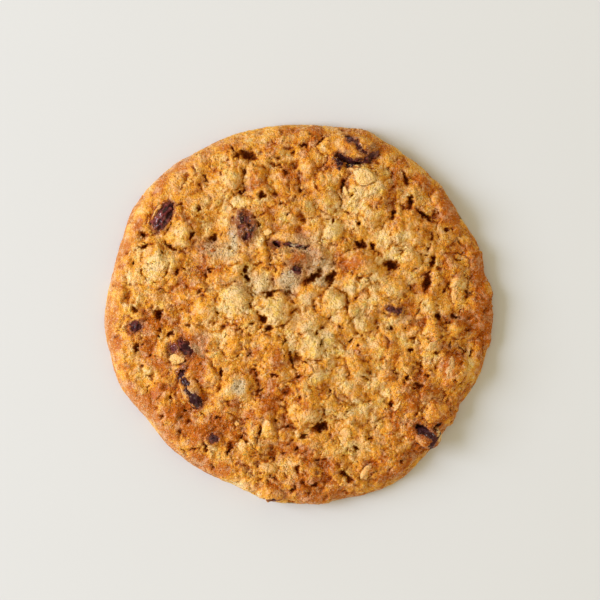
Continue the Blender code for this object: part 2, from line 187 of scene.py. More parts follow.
# Holes, trenches and cracks in the crust: x, y, length, width, turn, depth.
HOLES = (
    (-38.2, 1.2, 1.9, 1.9, 0, 1.5),
    (-32.6, 0.1, 2.9, 2.0, 75, 2.2),
    (-37.9, -7.7, 2.5, 1.3, 80, 1.5),
    (-29.7, -4.5, 1.7, 1.4, 20, 1.5),
    (-25.6, -2.3, 1.6, 1.5, 0, 0.9),
    (-20.6, 10.5, 2.3, 1.1, 25, 1.4),
    (-12.4, 10.4, 2.6, 1.3, 70, 1.9),
    (-12.0, 8.5, 2.2, 1.1, -40, 1.9),
    (-8.1, -1.0, 2.0, 1.9, 0, 2.0),
    (-6.8, -3.2, 2.0, 1.5, -30, 1.8),
    (-6.5, 4.8, 2.2, 1.5, 25, 1.7),
    (3.6, 8.7, 5.4, 1.9, 33, 2.4),
    (7.7, 8.5, 3.4, 2.6, 65, 2.4),
    (-5.6, 5.3, 3.0, 1.1, 20, 1.1),
    (-5.4, -14.1, 2.4, 1.0, -15, 1.3),
    (-2.5, -17.8, 2.8, 2.4, 0, 1.0),
    (5.3, -26.3, 4.0, 2.2, 18, 2.4),
    (1.5, -28.5, 1.9, 1.0, 0, 1.3),
    (13.6, -31.4, 1.9, 1.1, -20, 1.4),
    (11.5, -38.0, 4.6, 1.4, -42, 1.6),
    (24.3, -34.4, 1.9, 1.0, 30, 1.2),
    (28.4, -26.4, 1.6, 1.0, -35, 1.6),
    (32.2, -26.5, 2.2, 0.8, 25, 1.4),
    (31.9, -30.2, 2.0, 0.7, 80, 1.4),
    (25.7, -14.8, 1.3, 1.2, 0, 1.2),
    (28.0, -16.7, 3.2, 1.8, -25, 1.4),
    (21.9, 11.6, 3.8, 2.6, -15, 2.6),
    (30.2, 7.4, 5.4, 2.1, 78, 2.2),
    (31.6, 12.4, 3.6, 1.7, 75, 1.7),
    (14.6, 16.4, 3.8, 1.6, -25, 2.2),
    (17.5, 16.2, 1.6, 1.3, 80, 1.8),
    (14.0, 21.4, 1.3, 1.0, 60, 1.4),
    (8.4, 22.0, 1.9, 0.9, 80, 1.2),
    (10.4, 30.2, 3.6, 1.1, 82, 1.6),
    (25.2, 32.0, 4.0, 1.3, -70, 1.6),
    (26.3, 26.4, 4.4, 1.7, 85, 2.0),
    (29.8, 23.2, 6.0, 1.1, -32, 1.4),
    (22.4, 23.4, 2.6, 1.1, 62, 1.5),
    (1.4, 39.6, 2.4, 1.2, -25, 1.2),
    (-9.2, 21.1, 1.4, 0.9, 80, 1.2),
    (-8.4, 27.8, 2.2, 1.8, 0, 1.6),
    (-13.0, 28.8, 2.4, 0.9, 10, 1.5),
    (-19.9, 18.0, 2.4, 1.9, 30, 1.6),
    (-24.9, 18.6, 2.2, 1.2, 60, 1.4),
    (-36.3, 18.9, 2.4, 1.2, -10, 1.4),
    (-23.2, 24.9, 1.8, 1.3, 70, 1.2),
    (-12.2, 37.4, 7.4, 2.6, -6, 2.0),
    (32.7, -0.4, 2.9, 1.5, 80, 1.5),
    (36.2, -0.4, 1.8, 1.2, 10, 1.3),
    (41.2, -9.0, 2.5, 1.1, 75, 1.0),
    (40.0, -3.8, 1.3, 1.1, 0, 1.1),
    (26.5, -8.4, 1.6, 1.2, 0, 1.2),
    (26.8, -5.7, 1.7, 1.5, 0, 0.9),
    (-16.0, -31.5, 3.7, 1.3, 70, 1.4),
    (-21.5, -31.0, 3.2, 1.0, 80, 1.1),
    (-18.6, -24.0, 2.2, 1.1, -25, 1.2),
    (-32.0, -24.0, 1.8, 1.1, 60, 1.0),
    (-1.0, -41.0, 2.7, 1.1, 65, 1.3),
    (0.0, -36.0, 2.4, 1.4, 60, 1.2),
    (3.8, -40.0, 1.9, 1.1, 10, 1.2),
    (22.0, -21.0, 2.2, 1.4, -30, 1.1),
    (-18.0, -13.8, 2.8, 0.9, 85, 1.4),
    (-9.0, -27.2, 2.4, 0.9, 85, 1.2),
    (0.3, -14.5, 1.7, 1.1, 0, 1.2),
    (12.5, -6.0, 1.3, 1.1, 0, 1.1),
    (-43.0, -5.2, 2.6, 1.0, 5, 0.7),
    (34.8, 20.0, 1.8, 0.8, 0, 1.0),
    (21.5, -3.3, 1.9, 0.9, 0, 1.2),
    (-1.6, -10.6, 5.6, 0.8, -70, 1.2),
    (-29.6, 15.8, 5.4, 0.9, -28, 1.3),
    (-36.0, 16.0, 4.4, 0.8, 20, 0.9),
    (-24.4, -31.6, 5.0, 0.6, 8, 0.8),
    (-28.4, 10.0, 2.1, 0.9, 85, 1.1),
    (-26.6, 10.5, 1.1, 0.7, -15, 0.9),
    (-31.9, 14.6, 1.3, 0.8, -70, 1.0),
    (-40.4, 14.5, 1.1, 0.9, 0, 0.8),
    (-38.4, 12.2, 0.9, 0.9, 0, 0.9),
    (-36.8, 10.2, 3.2, 0.6, -75, 0.8),
    (-32.3, -3.6, 1.1, 0.7, 80, 0.9),
    (-32.8, -5.2, 0.8, 0.7, 0, 0.8),
    (-34.4, -9.9, 1.6, 0.8, 30, 1.0),
    (-36.2, -12.3, 1.0, 0.8, -60, 0.9),
    (-34.6, -14.6, 2.4, 0.7, -35, 0.8),
    (-22.6, -11.3, 0.8, 0.7, 0, 0.8),
    (-11.0, 2.6, 3.8, 1.3, 80, 0.9),
    (-10.8, -2.2, 1.2, 0.9, 70, 0.9),
    (5.7, 12.9, 0.9, 0.8, 0, 0.9),
    (0.8, 8.3, 0.9, 0.8, 0, 0.9),
    (-2.0, 5.0, 4.6, 1.3, -15, 0.7),
    (-3.2, -6.4, 1.9, 1.1, 60, 1.0),
    (-1.9, -8.4, 1.6, 0.7, -25, 0.9),
    (4.4, -4.2, 1.0, 0.7, 70, 0.8),
    (5.5, -6.5, 1.6, 1.0, 60, 0.9),
    (10.3, -2.8, 1.6, 0.9, -30, 0.8),
    (14.3, -7.2, 1.6, 0.7, -60, 0.9),
    (1.7, -11.3, 1.3, 1.0, 0, 0.7),
    (-10.1, -13.0, 1.1, 0.8, -50, 0.9),
    (24.6, 15.2, 1.0, 0.7, 30, 0.9),
    (30.1, 14.1, 1.0, 0.7, 0, 0.9),
    (37.8, 12.7, 1.9, 0.7, -10, 0.7),
    (40.6, 4.7, 1.6, 0.7, 10, 0.7),
    (43.5, 3.7, 1.0, 0.7, -20, 0.6),
    (19.9, 0.4, 1.1, 0.6, -20, 0.8),
    (25.2, -3.1, 0.9, 0.6, 0, 0.8),
    (32.5, -8.9, 1.4, 1.0, 0, 0.9),
    (35.7, -7.0, 1.3, 0.9, 60, 0.8),
    (28.7, -12.2, 4.2, 1.3, 86, 0.9),
    (22.4, -12.7, 1.7, 0.5, 10, 0.7),
    (30.2, -14.2, 1.3, 0.9, 20, 0.9),
    (36.9, -15.4, 1.0, 0.8, 0, 0.8),
    (38.4, -8.2, 3.2, 0.5, -30, 0.7),
    (-30.0, -19.6, 1.8, 1.0, 10, 0.8),
    (-26.6, -22.4, 1.0, 0.9, 0, 0.9),
    (-25.4, -25.2, 2.0, 1.1, 10, 0.8),
    (-27.6, -27.2, 1.8, 0.9, 20, 0.8),
    (-20.1, -36.0, 2.4, 0.8, -60, 0.9),
    (-27.0, -32.6, 2.6, 0.7, -60, 0.8),
    (-12.0, -24.5, 1.3, 0.7, -30, 0.8),
    (-4.9, -24.7, 1.4, 0.7, -30, 0.9),
    (-2.6, -26.0, 1.8, 0.7, 25, 0.9),
    (-9.6, -29.6, 2.2, 0.6, 85, 0.8),
    (-3.4, -32.6, 1.8, 0.7, 10, 0.9),
    (-0.4, -31.4, 1.6, 0.8, 75, 1.0),
    (4.5, -34.1, 1.0, 1.0, 0, 1.0),
    (6.1, -36.4, 1.1, 0.9, 0, 1.0),
    (2.4, -41.8, 2.0, 0.7, 20, 0.8),
    (7.3, -17.7, 0.8, 0.7, 0, 0.8),
    (11.4, -22.5, 0.8, 0.7, 0, 0.8),
    (10.0, -21.0, 2.6, 0.5, -40, 0.6),
    (-8.6, -17.6, 1.2, 0.7, 40, 0.8),
    (-3.9, -19.8, 0.9, 0.7, 0, 0.8),
    (16.7, -29.0, 0.8, 0.7, 0, 0.8),
    (16.6, -33.6, 1.0, 0.8, -40, 0.8),
    (-13.9, -39.4, 1.0, 0.8, 0, 0.6),
    (-8.5, -37.0, 1.5, 0.6, -40, 0.8),
    (-5.6, -38.2, 2.8, 0.7, -35, 0.8),
    (-15.4, 38.8, 2.8, 0.9, -70, 1.1),
    (-0.8, 37.9, 1.8, 1.1, -10, 0.9),
    (-5.4, 35.2, 4.4, 0.9, -15, 0.8),
    (-3.0, 33.4, 1.9, 1.1, -20, 0.9),
    (0.3, 28.9, 1.7, 0.9, -60, 0.9),
    (1.6, 27.8, 0.9, 0.7, 0, 0.8),
    (-3.6, 26.1, 2.4, 0.9, -30, 0.9),
    (-1.9, 23.4, 1.0, 0.8, 0, 0.8),
    (11.6, 24.0, 1.1, 0.8, -30, 0.9),
    (12.4, 28.0, 1.3, 0.8, 60, 0.8),
    (3.0, 42.2, 1.8, 0.8, -20, 0.8),
    (6.1, 41.2, 3.6, 0.7, 32, 0.9),
    (-20.6, 35.0, 2.2, 0.6, -60, 0.8),
    (-24.2, 34.0, 2.6, 0.6, -70, 0.7),
    (-21.6, 31.8, 2.6, 0.6, -60, 0.8),
    (-17.7, 32.8, 2.0, 0.7, -50, 0.9),
    (-15.0, 37.2, 1.2, 0.8, 0, 0.8),
)

# Where the crust is smoother than elsewhere: x, y, spread, and how much smoother.
SMOOTH_PATCHES = (
    (-30, -16, 14, 0.45),
    (-28, 30, 10, 0.30),
)

# Where the dough is more or less browned than elsewhere: x, y, spread, and change of browning.
BROWNED_PATCHES = (
    (-15, 1, 8, -0.36),
    (-3, 2, 6, -0.10),
    (8, 1, 7, -0.20),
    (6, -8, 6, -0.20),
    (17, 4, 7, -0.14),
    (9, 24, 6, -0.38),
    (8, 35, 6, -0.02),
    (-8, 40, 5, -0.18),
    (-9, -40, 6, -0.18),
    (41, -8, 5, -0.16),
    (41, 8, 5, 0.14),
    (0, -16, 5, 0.14),
    (-16, -24, 4, 0.24),
    (-8, -23, 5, 0.12),
    (-40, -8, 4, -0.24),
    (25, -25, 4, 0.12),
    (-24, 4, 6, 0.14),
    (-32, 32, 8, -0.12),
    # Browner at the +X edge, away from the window: painted shade.
    (44, 0, 6, 0.32),
    (17, 27, 7, -0.06),
    (24, 15, 6, -0.44),
    (-31, 13, 7, -0.19),
    (-14, 20, 8, -0.24),
    (-40, 8, 6, -0.14),
    (16, -17, 7, -0.28),
    (16, -26, 6, -0.22),
    (-16, -15, 5, -0.24),
    (9, -32, 5, -0.20),
    (-15, -7, 4, -0.10),
    (0, 13, 6, 0.16),
    (-24, 13, 5, 0.22),
    (-32, -5, 7, 0.16),
    (-24, -12, 6, 0.18),
    (-20, -25, 7, 0.22),
    (-27, -32, 8, 0.10),
    (-8, -10, 5, 0.10),
    (30, -24, 8, 0.16),
    (36, -6, 7, 0.16),
    (33, 24, 8, 0.06),
    (30, 8, 4, 0.08),
    (1, 40, 5, 0.10),
    (3, -40, 9, 0.16),
    (22, -34, 7, 0.10),
    (-22, -15, 5, -0.14),
    (24, -1, 5, -0.12),
    (32, -8, 5, -0.14),
    (33, -24, 4, -0.14),
    (16, 8, 4, -0.18),
    (0, -24, 5, -0.16),
    (0, -8, 4, -0.12),
    (-33, 8, 5, -0.12),
    (-8, 16, 4, -0.12),
    (-23, 16, 5, 0.18),
    (0, 24, 4, 0.12),
    (24, -17, 4, 0.08),
    (-0.5, 13.3, 2.4, 0.20),
)

# Where a raisin's skin shows through the dough that baked over it: x, y, length, width, turn.
RAISIN_WINDOWS = {
    "raisin_north_west": (
        (-31.5, 23.0, 7.2, 3.2, 60),
        (-32.5, 21.6, 4.0, 2.8, 50),
        (-30.5, 24.6, 4.0, 2.6, 70),
    ),
    "raisin_north_middle": (
        (-12.0, 22.4, 2.0, 1.6, 60),
        (-11.4, 21.0, 1.3, 0.9, 0),
        (-12.0, 18.3, 1.8, 1.3, 20),
        (-13.2, 20.6, 0.9, 0.8, 0),
        (-12.6, 19.6, 0.7, 0.6, 0),
    ),
    "raisin_upper_centre": (
        (-5.1, 16.2, 2.2, 1.9, 0),
        (-2.2, 16.4, 3.4, 0.7, -14),
        (0.8, 15.8, 3.4, 0.9, -10),
    ),
    "raisin_centre": (
        (-0.5, 10.4, 2.6, 1.9, 60),
        (-1.8, 9.9, 0.9, 0.8, 0),
        (-3.6, 9.6, 0.7, 0.6, 0),
        (-1.9, 6.9, 1.0, 0.6, 20),
        (-3.2, 7.8, 0.6, 0.5, 20),
    ),
    "raisin_north_rim": (
        (10.4, 36.7, 2.8, 1.6, -35),
        (12.2, 35.9, 2.6, 1.4, -8),
        (14.2, 35.8, 2.4, 1.2, 8),
        (16.0, 36.3, 2.4, 1.1, 24),
        (17.4, 37.2, 2.0, 1.4, 50),
        (15.4, 38.2, 1.5, 0.7, -50),
        (12.2, 41.0, 3.0, 0.9, -38),
        (14.0, 39.6, 2.2, 0.7, -55),
    ),
    "raisin_west_upper": (
        (-29.2, -7.8, 1.6, 2.0, 0),
        (-26.4, -7.8, 4.4, 2.6, -55),
        (-27.2, -11.0, 2.4, 1.2, -70),
    ),
    "raisin_west_lower": (
        (-27.3, -13.8, 2.4, 1.2, 65),
        (-26.3, -15.9, 2.2, 1.6, -60),
        (-24.0, -20.0, 3.8, 2.2, -52),
        (-25.4, -18.2, 2.6, 1.0, -60),
    ),
    "raisin_west_rim": ((-38.0, -2.8, 2.8, 2.2, 50),),
    "raisin_east": ((22.0, 1.2, 2.4, 1.3, -20), (23.6, 0.8, 1.6, 1.2, 30)),
    "raisin_east_rim": (
        (28.9, -26.9, 2.6, 1.6, -35),
        (30.4, -27.6, 1.8, 1.2, -30),
        (31.2, -28.8, 2.4, 1.1, -80),
        (30.9, -30.8, 1.8, 0.9, 75),
    ),
    "raisin_south_west": ((-19.8, -28.9, 2.2, 1.8, 30),),
    "raisin_south_middle": ((-13.6, -15.8, 0.5, 0.8, 10), (-14.1, -16.7, 0.4, 0.4, 0)),
    "raisin_south_rim": ((-6.6, -43.4, 4.2, 0.9, -10),),
}

# How much more or less of a raisin's worn, paler skin shows than on the others.
WORN = {
    "raisin_north_west": 0.20,
    "raisin_north_middle": 0.05,
    "raisin_north_rim": -0.10,
    "raisin_west_upper": 0.10,
    "raisin_west_lower": -0.45,
    "raisin_east_rim": -0.60,
}

# Where the dough is tinted grey: over a raisin, a thin smooth skin of dough that it shows grey through, and
# elsewhere broad greyer patches;
# x, y, length, width, turn, and how strongly it shows. A strength below 0 thickens the skin of the rows before
# it again.
THIN_DOUGH = (
    (-15.0, 17.2, 7.4, 2.8, 100, 1.0),
    (-2.2, 7.6, 8.0, 6.0, 80, 1.0),
    (0.0, 16.0, 6.0, 1.6, -10, 0.75),
    (-23.4, -8.2, 5.6, 2.6, -45, 0.7),
    (-24.4, -17.6, 6.0, 2.0, -62, 0.3),
    (-13.7, -16.8, 4.6, 4.2, 80, 1.3),
    (16.6, 38.4, 4.0, 1.8, 20, 0.4),
    (5.4, 10.4, 8.4, 8.0, 0, 0.85),
    (2.0, 13.6, 15.0, 14.0, -10, 0.60),
    (-25.2, -18.4, 3.4, 1.8, -60, 0.66),
    (-18.4, 15.2, 12.0, 6.4, 0, 0.66),
    (-10.0, 6.8, 14.0, 6.0, 0, 0.58),
    (1.6, -1.0, 7.0, 9.0, 30, 0.34),
    (-22.4, -5.6, 9.0, 4.6, -30, 0.36),
    (6.6, -5.0, 3.6, 3.2, 0, 0.5),
    (2.4, 2.8, 5.0, 4.4, 0, 0.35),
    (-21.0, 6.4, 4.0, 3.0, 0, 0.35),
    (24.6, -1.2, 4.6, 3.0, 0, 0.45),
    (-0.4, 13.3, 7.0, 2.6, -5, -0.8),
)

# Where the dough is stained red-brown by a raisin just under it: x, y, length, width, turn, and how strongly.
# Above 1 it is torn raisin skin that sticks to the dough.
STAINED_DOUGH = (
    (-12.4, 20.6, 10.6, 8.0, 98, 1.15),
    (-11.6, 16.8, 3.4, 2.4, 60, 0.35),
    (-1.4, 13.4, 8.0, 4.4, -6, 0.30),
    (-0.4, 10.2, 4.6, 3.6, 50, 0.45),
    (16.8, 38.4, 5.4, 3.4, 30, 0.85),
    (12.4, 40.6, 6.4, 3.0, -42, 0.45),
    (-26.0, -9.0, 8.0, 6.0, -45, 0.40),
    (-25.2, -17.2, 9.0, 4.4, -62, 0.40),
    (30.6, -28.2, 7.0, 6.0, -20, 0.50),
    (-19.9, -29.0, 4.0, 3.6, 0, 0.40),
    (-15.8, -32.5, 3.2, 2.6, 20, 0.35),
    (-38.0, -2.8, 4.4, 3.8, 50, 0.40),
    (9.6, 35.9, 3.6, 2.6, -35, 1.7),
    (12.8, 35.1, 5.0, 1.4, 0, 1.5),
    (9.8, 34.2, 1.4, 1.4, 0, 1.4),
    (28.9, -26.8, 3.4, 2.2, -35, 2.1),
    (32.4, -26.5, 3.4, 1.2, 25, 2.1),
    (30.6, -27.8, 2.6, 1.6, -35, 2.1),
    (31.2, -29.0, 3.2, 1.4, -80, 2.1),
    (31.0, -31.1, 2.6, 1.3, 75, 2.1),
    (-29.2, -7.8, 1.8, 2.2, 0, 1.6),
    (-23.2, -20.8, 2.0, 1.4, -50, 1.6),
    (-12.0, 22.4, 2.0, 1.4, 60, 1.15),
    (-0.6, 10.5, 1.8, 1.6, 0, 1.4),
    (-1.2, 8.6, 5.0, 3.6, 60, 0.88),
)

# Rolled oats that lie bare in the crust: x, y, length, width, turn, and how pale each one is.
BARE_OATS = (
    (15.5, 32.4, 4.8, 3.4, -25, 0.70),
    (20.9, 33.5, 1.9, 1.0, 80, 0.90),
    (22.0, 31.3, 2.1, 1.1, 10, 0.90),
    (17.3, 27.7, 2.2, 1.6, 20, 0.60),
    (-12.7, 3.6, 2.6, 1.9, -30, 0.85),
    (-28.3, -10.4, 3.8, 2.4, 5, 0.78),
    (36.9, 5.0, 4.0, 1.6, 82, 0.55),
    (38.8, 8.8, 3.2, 1.4, 75, 0.60),
    (35.6, -12.2, 4.4, 1.6, 75, 0.80),
    (15.9, -36.7, 3.8, 1.5, 50, 0.75),
    (-7.4, -27.0, 4.6, 2.4, 80, 0.30),
    (-11.4, 41.2, 2.1, 0.9, 30, 0.90),
    (-3.2, 40.9, 2.3, 0.9, 0, 0.60),
    (26.1, 7.6, 1.5, 1.2, 60, 0.85),
    (28.0, -1.3, 2.2, 1.8, 10, 0.55),
    (35.8, 12.8, 2.4, 1.6, -70, 0.50),
    (-37.4, 14.2, 3.0, 1.2, 85, 0.55),
    (-33.8, 13.0, 3.4, 2.4, 20, 0.50),
    (-36.4, -17.8, 2.2, 1.6, 30, 0.40),
    (-18.3, -27.0, 2.6, 1.5, -70, 0.30),
    (6.9, -22.9, 2.1, 1.4, 80, 0.50),
    (3.8, -30.4, 2.2, 1.4, 10, 0.60),
    (-6.9, -35.9, 3.4, 2.0, -10, 0.60),
    (2.0, -27.3, 1.6, 0.9, 20, 0.70),
    (-8.5, -30.3, 1.7, 1.1, 0, 0.80),
    (8.9, 19.4, 1.4, 1.1, 60, 0.80),
    (32.9, -28.1, 3.2, 2.0, -50, 0.95),
)


class CookieSizes(bpy.types.PropertyGroup):
    """How much lies on the crust."""

    crumb_count: bpy.props.IntProperty(
        name="Crumbs", description="How many loose grains of dough lie on the crust", default=1000, min=0
    )
    grain_count: bpy.props.IntProperty(
        name="Grains", description="How many of the finest grains lie on the crust", default=9800, min=0
    )
    flake_count: bpy.props.IntProperty(
        name="Oat flakes", description="How many more rolled oats lie in the crust", default=14, min=0
    )


def colour_property(name, description, default):
    return bpy.props.FloatVectorProperty(
        name=name, description=description, default=default, subtype="COLOR", size=4, min=0.0, max=1.0
    )


class CookieColours(bpy.types.PropertyGroup):
    """Colours of the baked dough, the oats and the raisins."""

    pale_dough: colour_property("Pale dough", "Barely browned dough", (0.85, 0.60, 0.262, 1.0))
    golden_dough: colour_property("Golden dough", "Evenly baked dough", (0.80, 0.374, 0.050, 1.0))
    brown_dough: colour_property("Brown dough", "Well browned dough", (0.515, 0.142, 0.009, 1.0))
    # Pale grains of sugar and bran, whose specks are partly painted highlights.
    sugar_and_glint: colour_property("Sugar", "Fine pale grains of sugar and oat bran", (0.88, 0.65, 0.44, 1.0))
    syrup: colour_property("Syrup", "Tint of dough that the syrup soaked through", (1.0, 0.93, 0.42, 1.0))
    # Painted shade: a tint for dough in shallow hollows, pores and the gaps between grains, and for fine dark
    # flecks.
    crevice_shade: colour_property("Crevice", "Tint of dough in shallow hollows and pores", (0.65, 0.44, 0.11, 1.0))
    # Painted shade deep in holes, cracks and pores.
    hole_shade: colour_property("Dark dough", "Dough deep in holes and cracks", (0.18, 0.030, 0.001, 1.0))
    oat: colour_property("Oat", "Bare rolled oats", (0.84, 0.60, 0.27, 1.0))
    raisin: colour_property("Raisin", "Raisin skin", (0.040, 0.008, 0.011, 1.0))
    raisin_ridge: colour_property("Raisin ridge", "Worn ridges of the raisin skin", (0.22, 0.036, 0.034, 1.0))
    dough_film: colour_property("Dough film", "Thin dough over a raisin", (0.63, 0.50, 0.32, 1.0))
    raisin_stain: colour_property("Raisin stain", "Dough with a raisin under it", (0.24, 0.062, 0.022, 1.0))
    floor: colour_property("Floor", "Pale floor", (0.626, 0.642, 0.675, 1.0))


# --------------------------------------------------------------------------------------------------
# Random relief, worked out on arrays of places in mm.


def lattice_share(column, row, seed):
    """A random share from 0 to 1 for each whole-numbered place."""
    mixed = column.astype(np.int64) * 374761393 + row.astype(np.int64) * 668265263 + seed * 974634777
    mixed = mixed & 0xFFFFFFFF
    mixed = ((mixed ^ (mixed >> 13)) * 1274126177) & 0xFFFFFFFF
    return ((mixed ^ (mixed >> 16)) & 0xFFFF) / 0xFFFF


def smooth_step(values, low, high):
    share = np.clip((values - low) / (high - low), 0, 1)
    return share * share * (3 - 2 * share)


def ripple(x, y, size, seed):
    """Soft random waves from about -1 to 1 whose crests are about size apart."""
    spacing = 0.6 * size
    column, row = np.floor(x / spacing), np.floor(y / spacing)
    across, along = x / spacing - column, y / spacing - row

    def pull(step_x, step_y):
        angle = math.tau * lattice_share(column + step_x, row + step_y, seed)
        return (across - step_x) * np.cos(angle) + (along - step_y) * np.sin(angle)

    ease_x, ease_y = smooth_step(across, 0, 1), smooth_step(along, 0, 1)
    near = pull(0, 0) * (1 - ease_x) + pull(1, 0) * ease_x
    far = pull(0, 1) * (1 - ease_x) + pull(1, 1) * ease_x
    return 1.7 * (near * (1 - ease_y) + far * ease_y)


def ripples(x, y, size, seed, octaves=3):
    """Soft random waves with finer ones on them."""
    return sum(ripple(x, y, size / 2**step, seed + step) / 2**step for step in range(octaves))


def bent(x, y, *waves):
    """Places pushed about by random waves: how far, their size, a seed for x and for y, and any octaves."""
    bent_x, bent_y = x, y
    for reach, size, seed_x, seed_y, *octaves in waves:
        bent_x = bent_x + reach * ripples(x, y, size, seed_x, *octaves)
        bent_y = bent_y + reach * ripples(x, y, size, seed_y, *octaves)
    return bent_x, bent_y


def with_swells(field, x, y, swells):
    """A field with soft round rises and dips added to it: x, y, spread and rise of each."""
    for at_x, at_y, spread, rise in swells:
        field = field + rise * np.exp(-((x - at_x) ** 2 + (y - at_y) ** 2) / spread**2)
    return field


def mounds(x, y, spacing, seed):
    """Mounds that press against each other: how domed a place is, its mound's share, and mm to the border."""
    column, row = np.floor(x / spacing), np.floor(y / spacing)
    nearest = np.full_like(x, 9.0)
    second = np.full_like(x, 9.0)
    share = np.full_like(x, 0.5)
    for step_x in (-1, 0, 1):
        for step_y in (-1, 0, 1):
            cell = (column + step_x, row + step_y)
            dx = x / spacing - cell[0] - 0.5 - 0.8 * (lattice_share(*cell, seed) - 0.5)
            dy = y / spacing - cell[1] - 0.5 - 0.8 * (lattice_share(*cell, seed + 1) - 0.5)
            away = np.hypot(dx, dy) - 0.25 * (lattice_share(*cell, seed + 2) - 0.5)
            share = np.where(away < nearest, lattice_share(*cell, seed + 3), share)
            second = np.minimum(second, np.maximum(away, nearest))
            nearest = np.minimum(nearest, away)
    return 1 - np.clip(nearest + 0.1, 0, 1) ** 2, share, (second - nearest) * spacing / 2


def crowded_plates(x, y, spacing, seed, fill=1.0, crown=0.5):
    """Round-topped grains that crowd each other: height, and each grain's own random share."""
    column, row = np.floor(x / spacing), np.floor(y / spacing)
    height = np.zeros_like(x)
    share = np.full_like(x, 0.5)
    for step_x in (-1, 0, 1):
        for step_y in (-1, 0, 1):
            cell = (column + step_x, row + step_y)
            turn = lattice_share(*cell, seed + 2) * math.pi
            size = lattice_share(*cell, seed + 3)
            dx = x / spacing - cell[0] - lattice_share(*cell, seed)
            dy = y / spacing - cell[1] - lattice_share(*cell, seed + 1)
            along = dx * np.cos(turn) + dy * np.sin(turn)
            across = dy * np.cos(turn) - dx * np.sin(turn)
            radius = 0.40 + 0.45 * size
            slimness = 0.60 + 0.40 * lattice_share(*cell, seed + 4)
            inside = 1 - (along / radius) ** 2 - (across / (radius * slimness)) ** 2
            lump = np.clip(inside, 0, 1) ** crown * (0.35 + 0.65 * size)
            lump = lump * (lattice_share(*cell, seed + 5) < fill)
            share = np.where(lump > height, lattice_share(*cell, seed + 6), share)
            height = np.maximum(height, lump)
    return height, share


def oval_distance(x, y, centre_x, centre_y, length, width, turn):
    """0 at an oval's middle and 1 on its edge."""
    angle = math.radians(turn)
    dx = x - centre_x
    dy = y - centre_y
    along = dx * math.cos(angle) + dy * math.sin(angle)
    across = dy * math.cos(angle) - dx * math.sin(angle)
    return np.hypot(2 * along / length, 2 * across / width)


def soft_maximum(first, second, blend):
    """The higher of two fields, rounded where they meet."""
    share = np.clip(0.5 + 0.5 * (first - second) / blend, 0, 1)
    return second + (first - second) * share + blend * share * (1 - share)


def window_distance(x, y, node):
    """How far outside the nearest window on a raisin each place is, in mm, and below 0 inside it."""
    edge_x, edge_y = bent(x, y, (0.45, 2.2, 161, 165), (0.25, 0.9, 171, 175, 1))
    nearest = np.full_like(x, 99.0)
    for oval in RAISIN_WINDOWS[node]:
        away = oval_distance(edge_x, edge_y, *oval) - 1
        nearest = np.minimum(nearest, away * 0.5 * math.sqrt(oval[2] * oval[3]))
    return nearest


def painted(x, y, ovals, core, edge):
    """The strongest of the soft ovals at each place. They fade from core to edge, as shares of their size."""
    field = np.zeros_like(x)
    for *oval, strength in ovals:
        inside = 1 - smooth_step(oval_distance(x, y, *oval), core, edge)
        field = np.maximum(field, strength * inside) if strength > 0 else field * (1 + strength * inside)
    return field


def thin_dough(x, y):
    """How strongly a raisin shows through the dough at each place."""
    return painted(x, y, THIN_DOUGH, 0.45, 1.25)


# --------------------------------------------------------------------------------------------------
# The wrapped sheet.

# The crust's highest point, and the sizes of the smooth form under its relief, in mm. The rim is an arc from
# the shoulder, RIM_WIDTH inside the outline, down to where it tucks in at the foot. FOOT_LIP is a share.
HIGHEST = CAD_BOX[1].z / MM + 0.25
MEAN_RADIUS = 44.8
SHOULDER_HEIGHT = 5.6
CROWN_RISE = 4.8
CROWN_FLATNESS = 2.2
RIM_WIDTH = 4.4
RIM_ARC = 7.6
FOOT_HEIGHT = 1.2
FOOT_TUCK = math.radians(14)
FOOT_LIP = 0.95

# What the dough's mesh tells its finish at each point, with how much painted shade lies in its hollows, holes,
# cracks and moats.
DOUGH_LAYERS = ("browning", "hollow_shade", "smooth", "oat", "veil", "stain")


def outline_radius(bearing):
    """The cookie's radius in mm at bearings in degrees, counted from +X towards +Y."""
    radius = np.full_like(bearing, MEAN_RADIUS)
    for at, spread, rise in OUTLINE_SWELLS:
        gap = (bearing - at + 180) % 360 - 180
        radius += rise * np.exp(-((gap / spread) ** 2))
    return radius


def radius_towards(place):
    """The cookie's radius in mm in the direction of one place."""
    return outline_radius(np.array([math.degrees(math.atan2(place.y, place.x))]))[0]


def shoulder_radius(x, y):
    return outline_radius(np.degrees(np.arctan2(y, x))) - RIM_WIDTH


def crown_height(x, y):
    share = np.minimum(1, np.hypot(x, y) / MEAN_RADIUS)
    return with_swells(SHOULDER_HEIGHT + CROWN_RISE * (1 - share**CROWN_FLATNESS), x, y, UNDULATIONS)


def wrap(x, y):
    """Carries points of the flat sheet onto the smooth crust: their places, and the crust's normals there."""
    way = np.maximum(np.hypot(x, y), 1e-6)
    shoulder = shoulder_radius(x, y)
    turned = np.clip((way - shoulder) / RIM_ARC, 0, 1) * (math.pi / 2 + FOOT_TUCK)
    inner = np.minimum(way, shoulder)
    top = crown_height(x / way * inner, y / way * inner)
    drop = np.where(turned < math.pi / 2, top - FOOT_HEIGHT, FOOT_HEIGHT / math.sin(FOOT_TUCK))
    height = np.maximum(0, FOOT_HEIGHT + drop * np.cos(turned))
    reach = (inner + RIM_WIDTH * np.sin(turned)) / way
    place = np.stack((x * reach, y * reach, height), axis=-1)
    lean = np.sin(turned) / way
    normal = np.stack((x * lean, y * lean, np.maximum(0, np.cos(turned))), axis=-1)
    return place, normal / np.linalg.norm(normal, axis=-1, keepdims=True)


def blurred(field, width):
    """A lattice field averaged over a square of the given width in mm."""
    half = max(1, round(width / (2 * SHEET_SPACING)))
    for axis in (0, 1):
        field = sum(np.roll(field, shift, axis) for shift in range(-half, half + 1)) / (2 * half + 1)
    return field


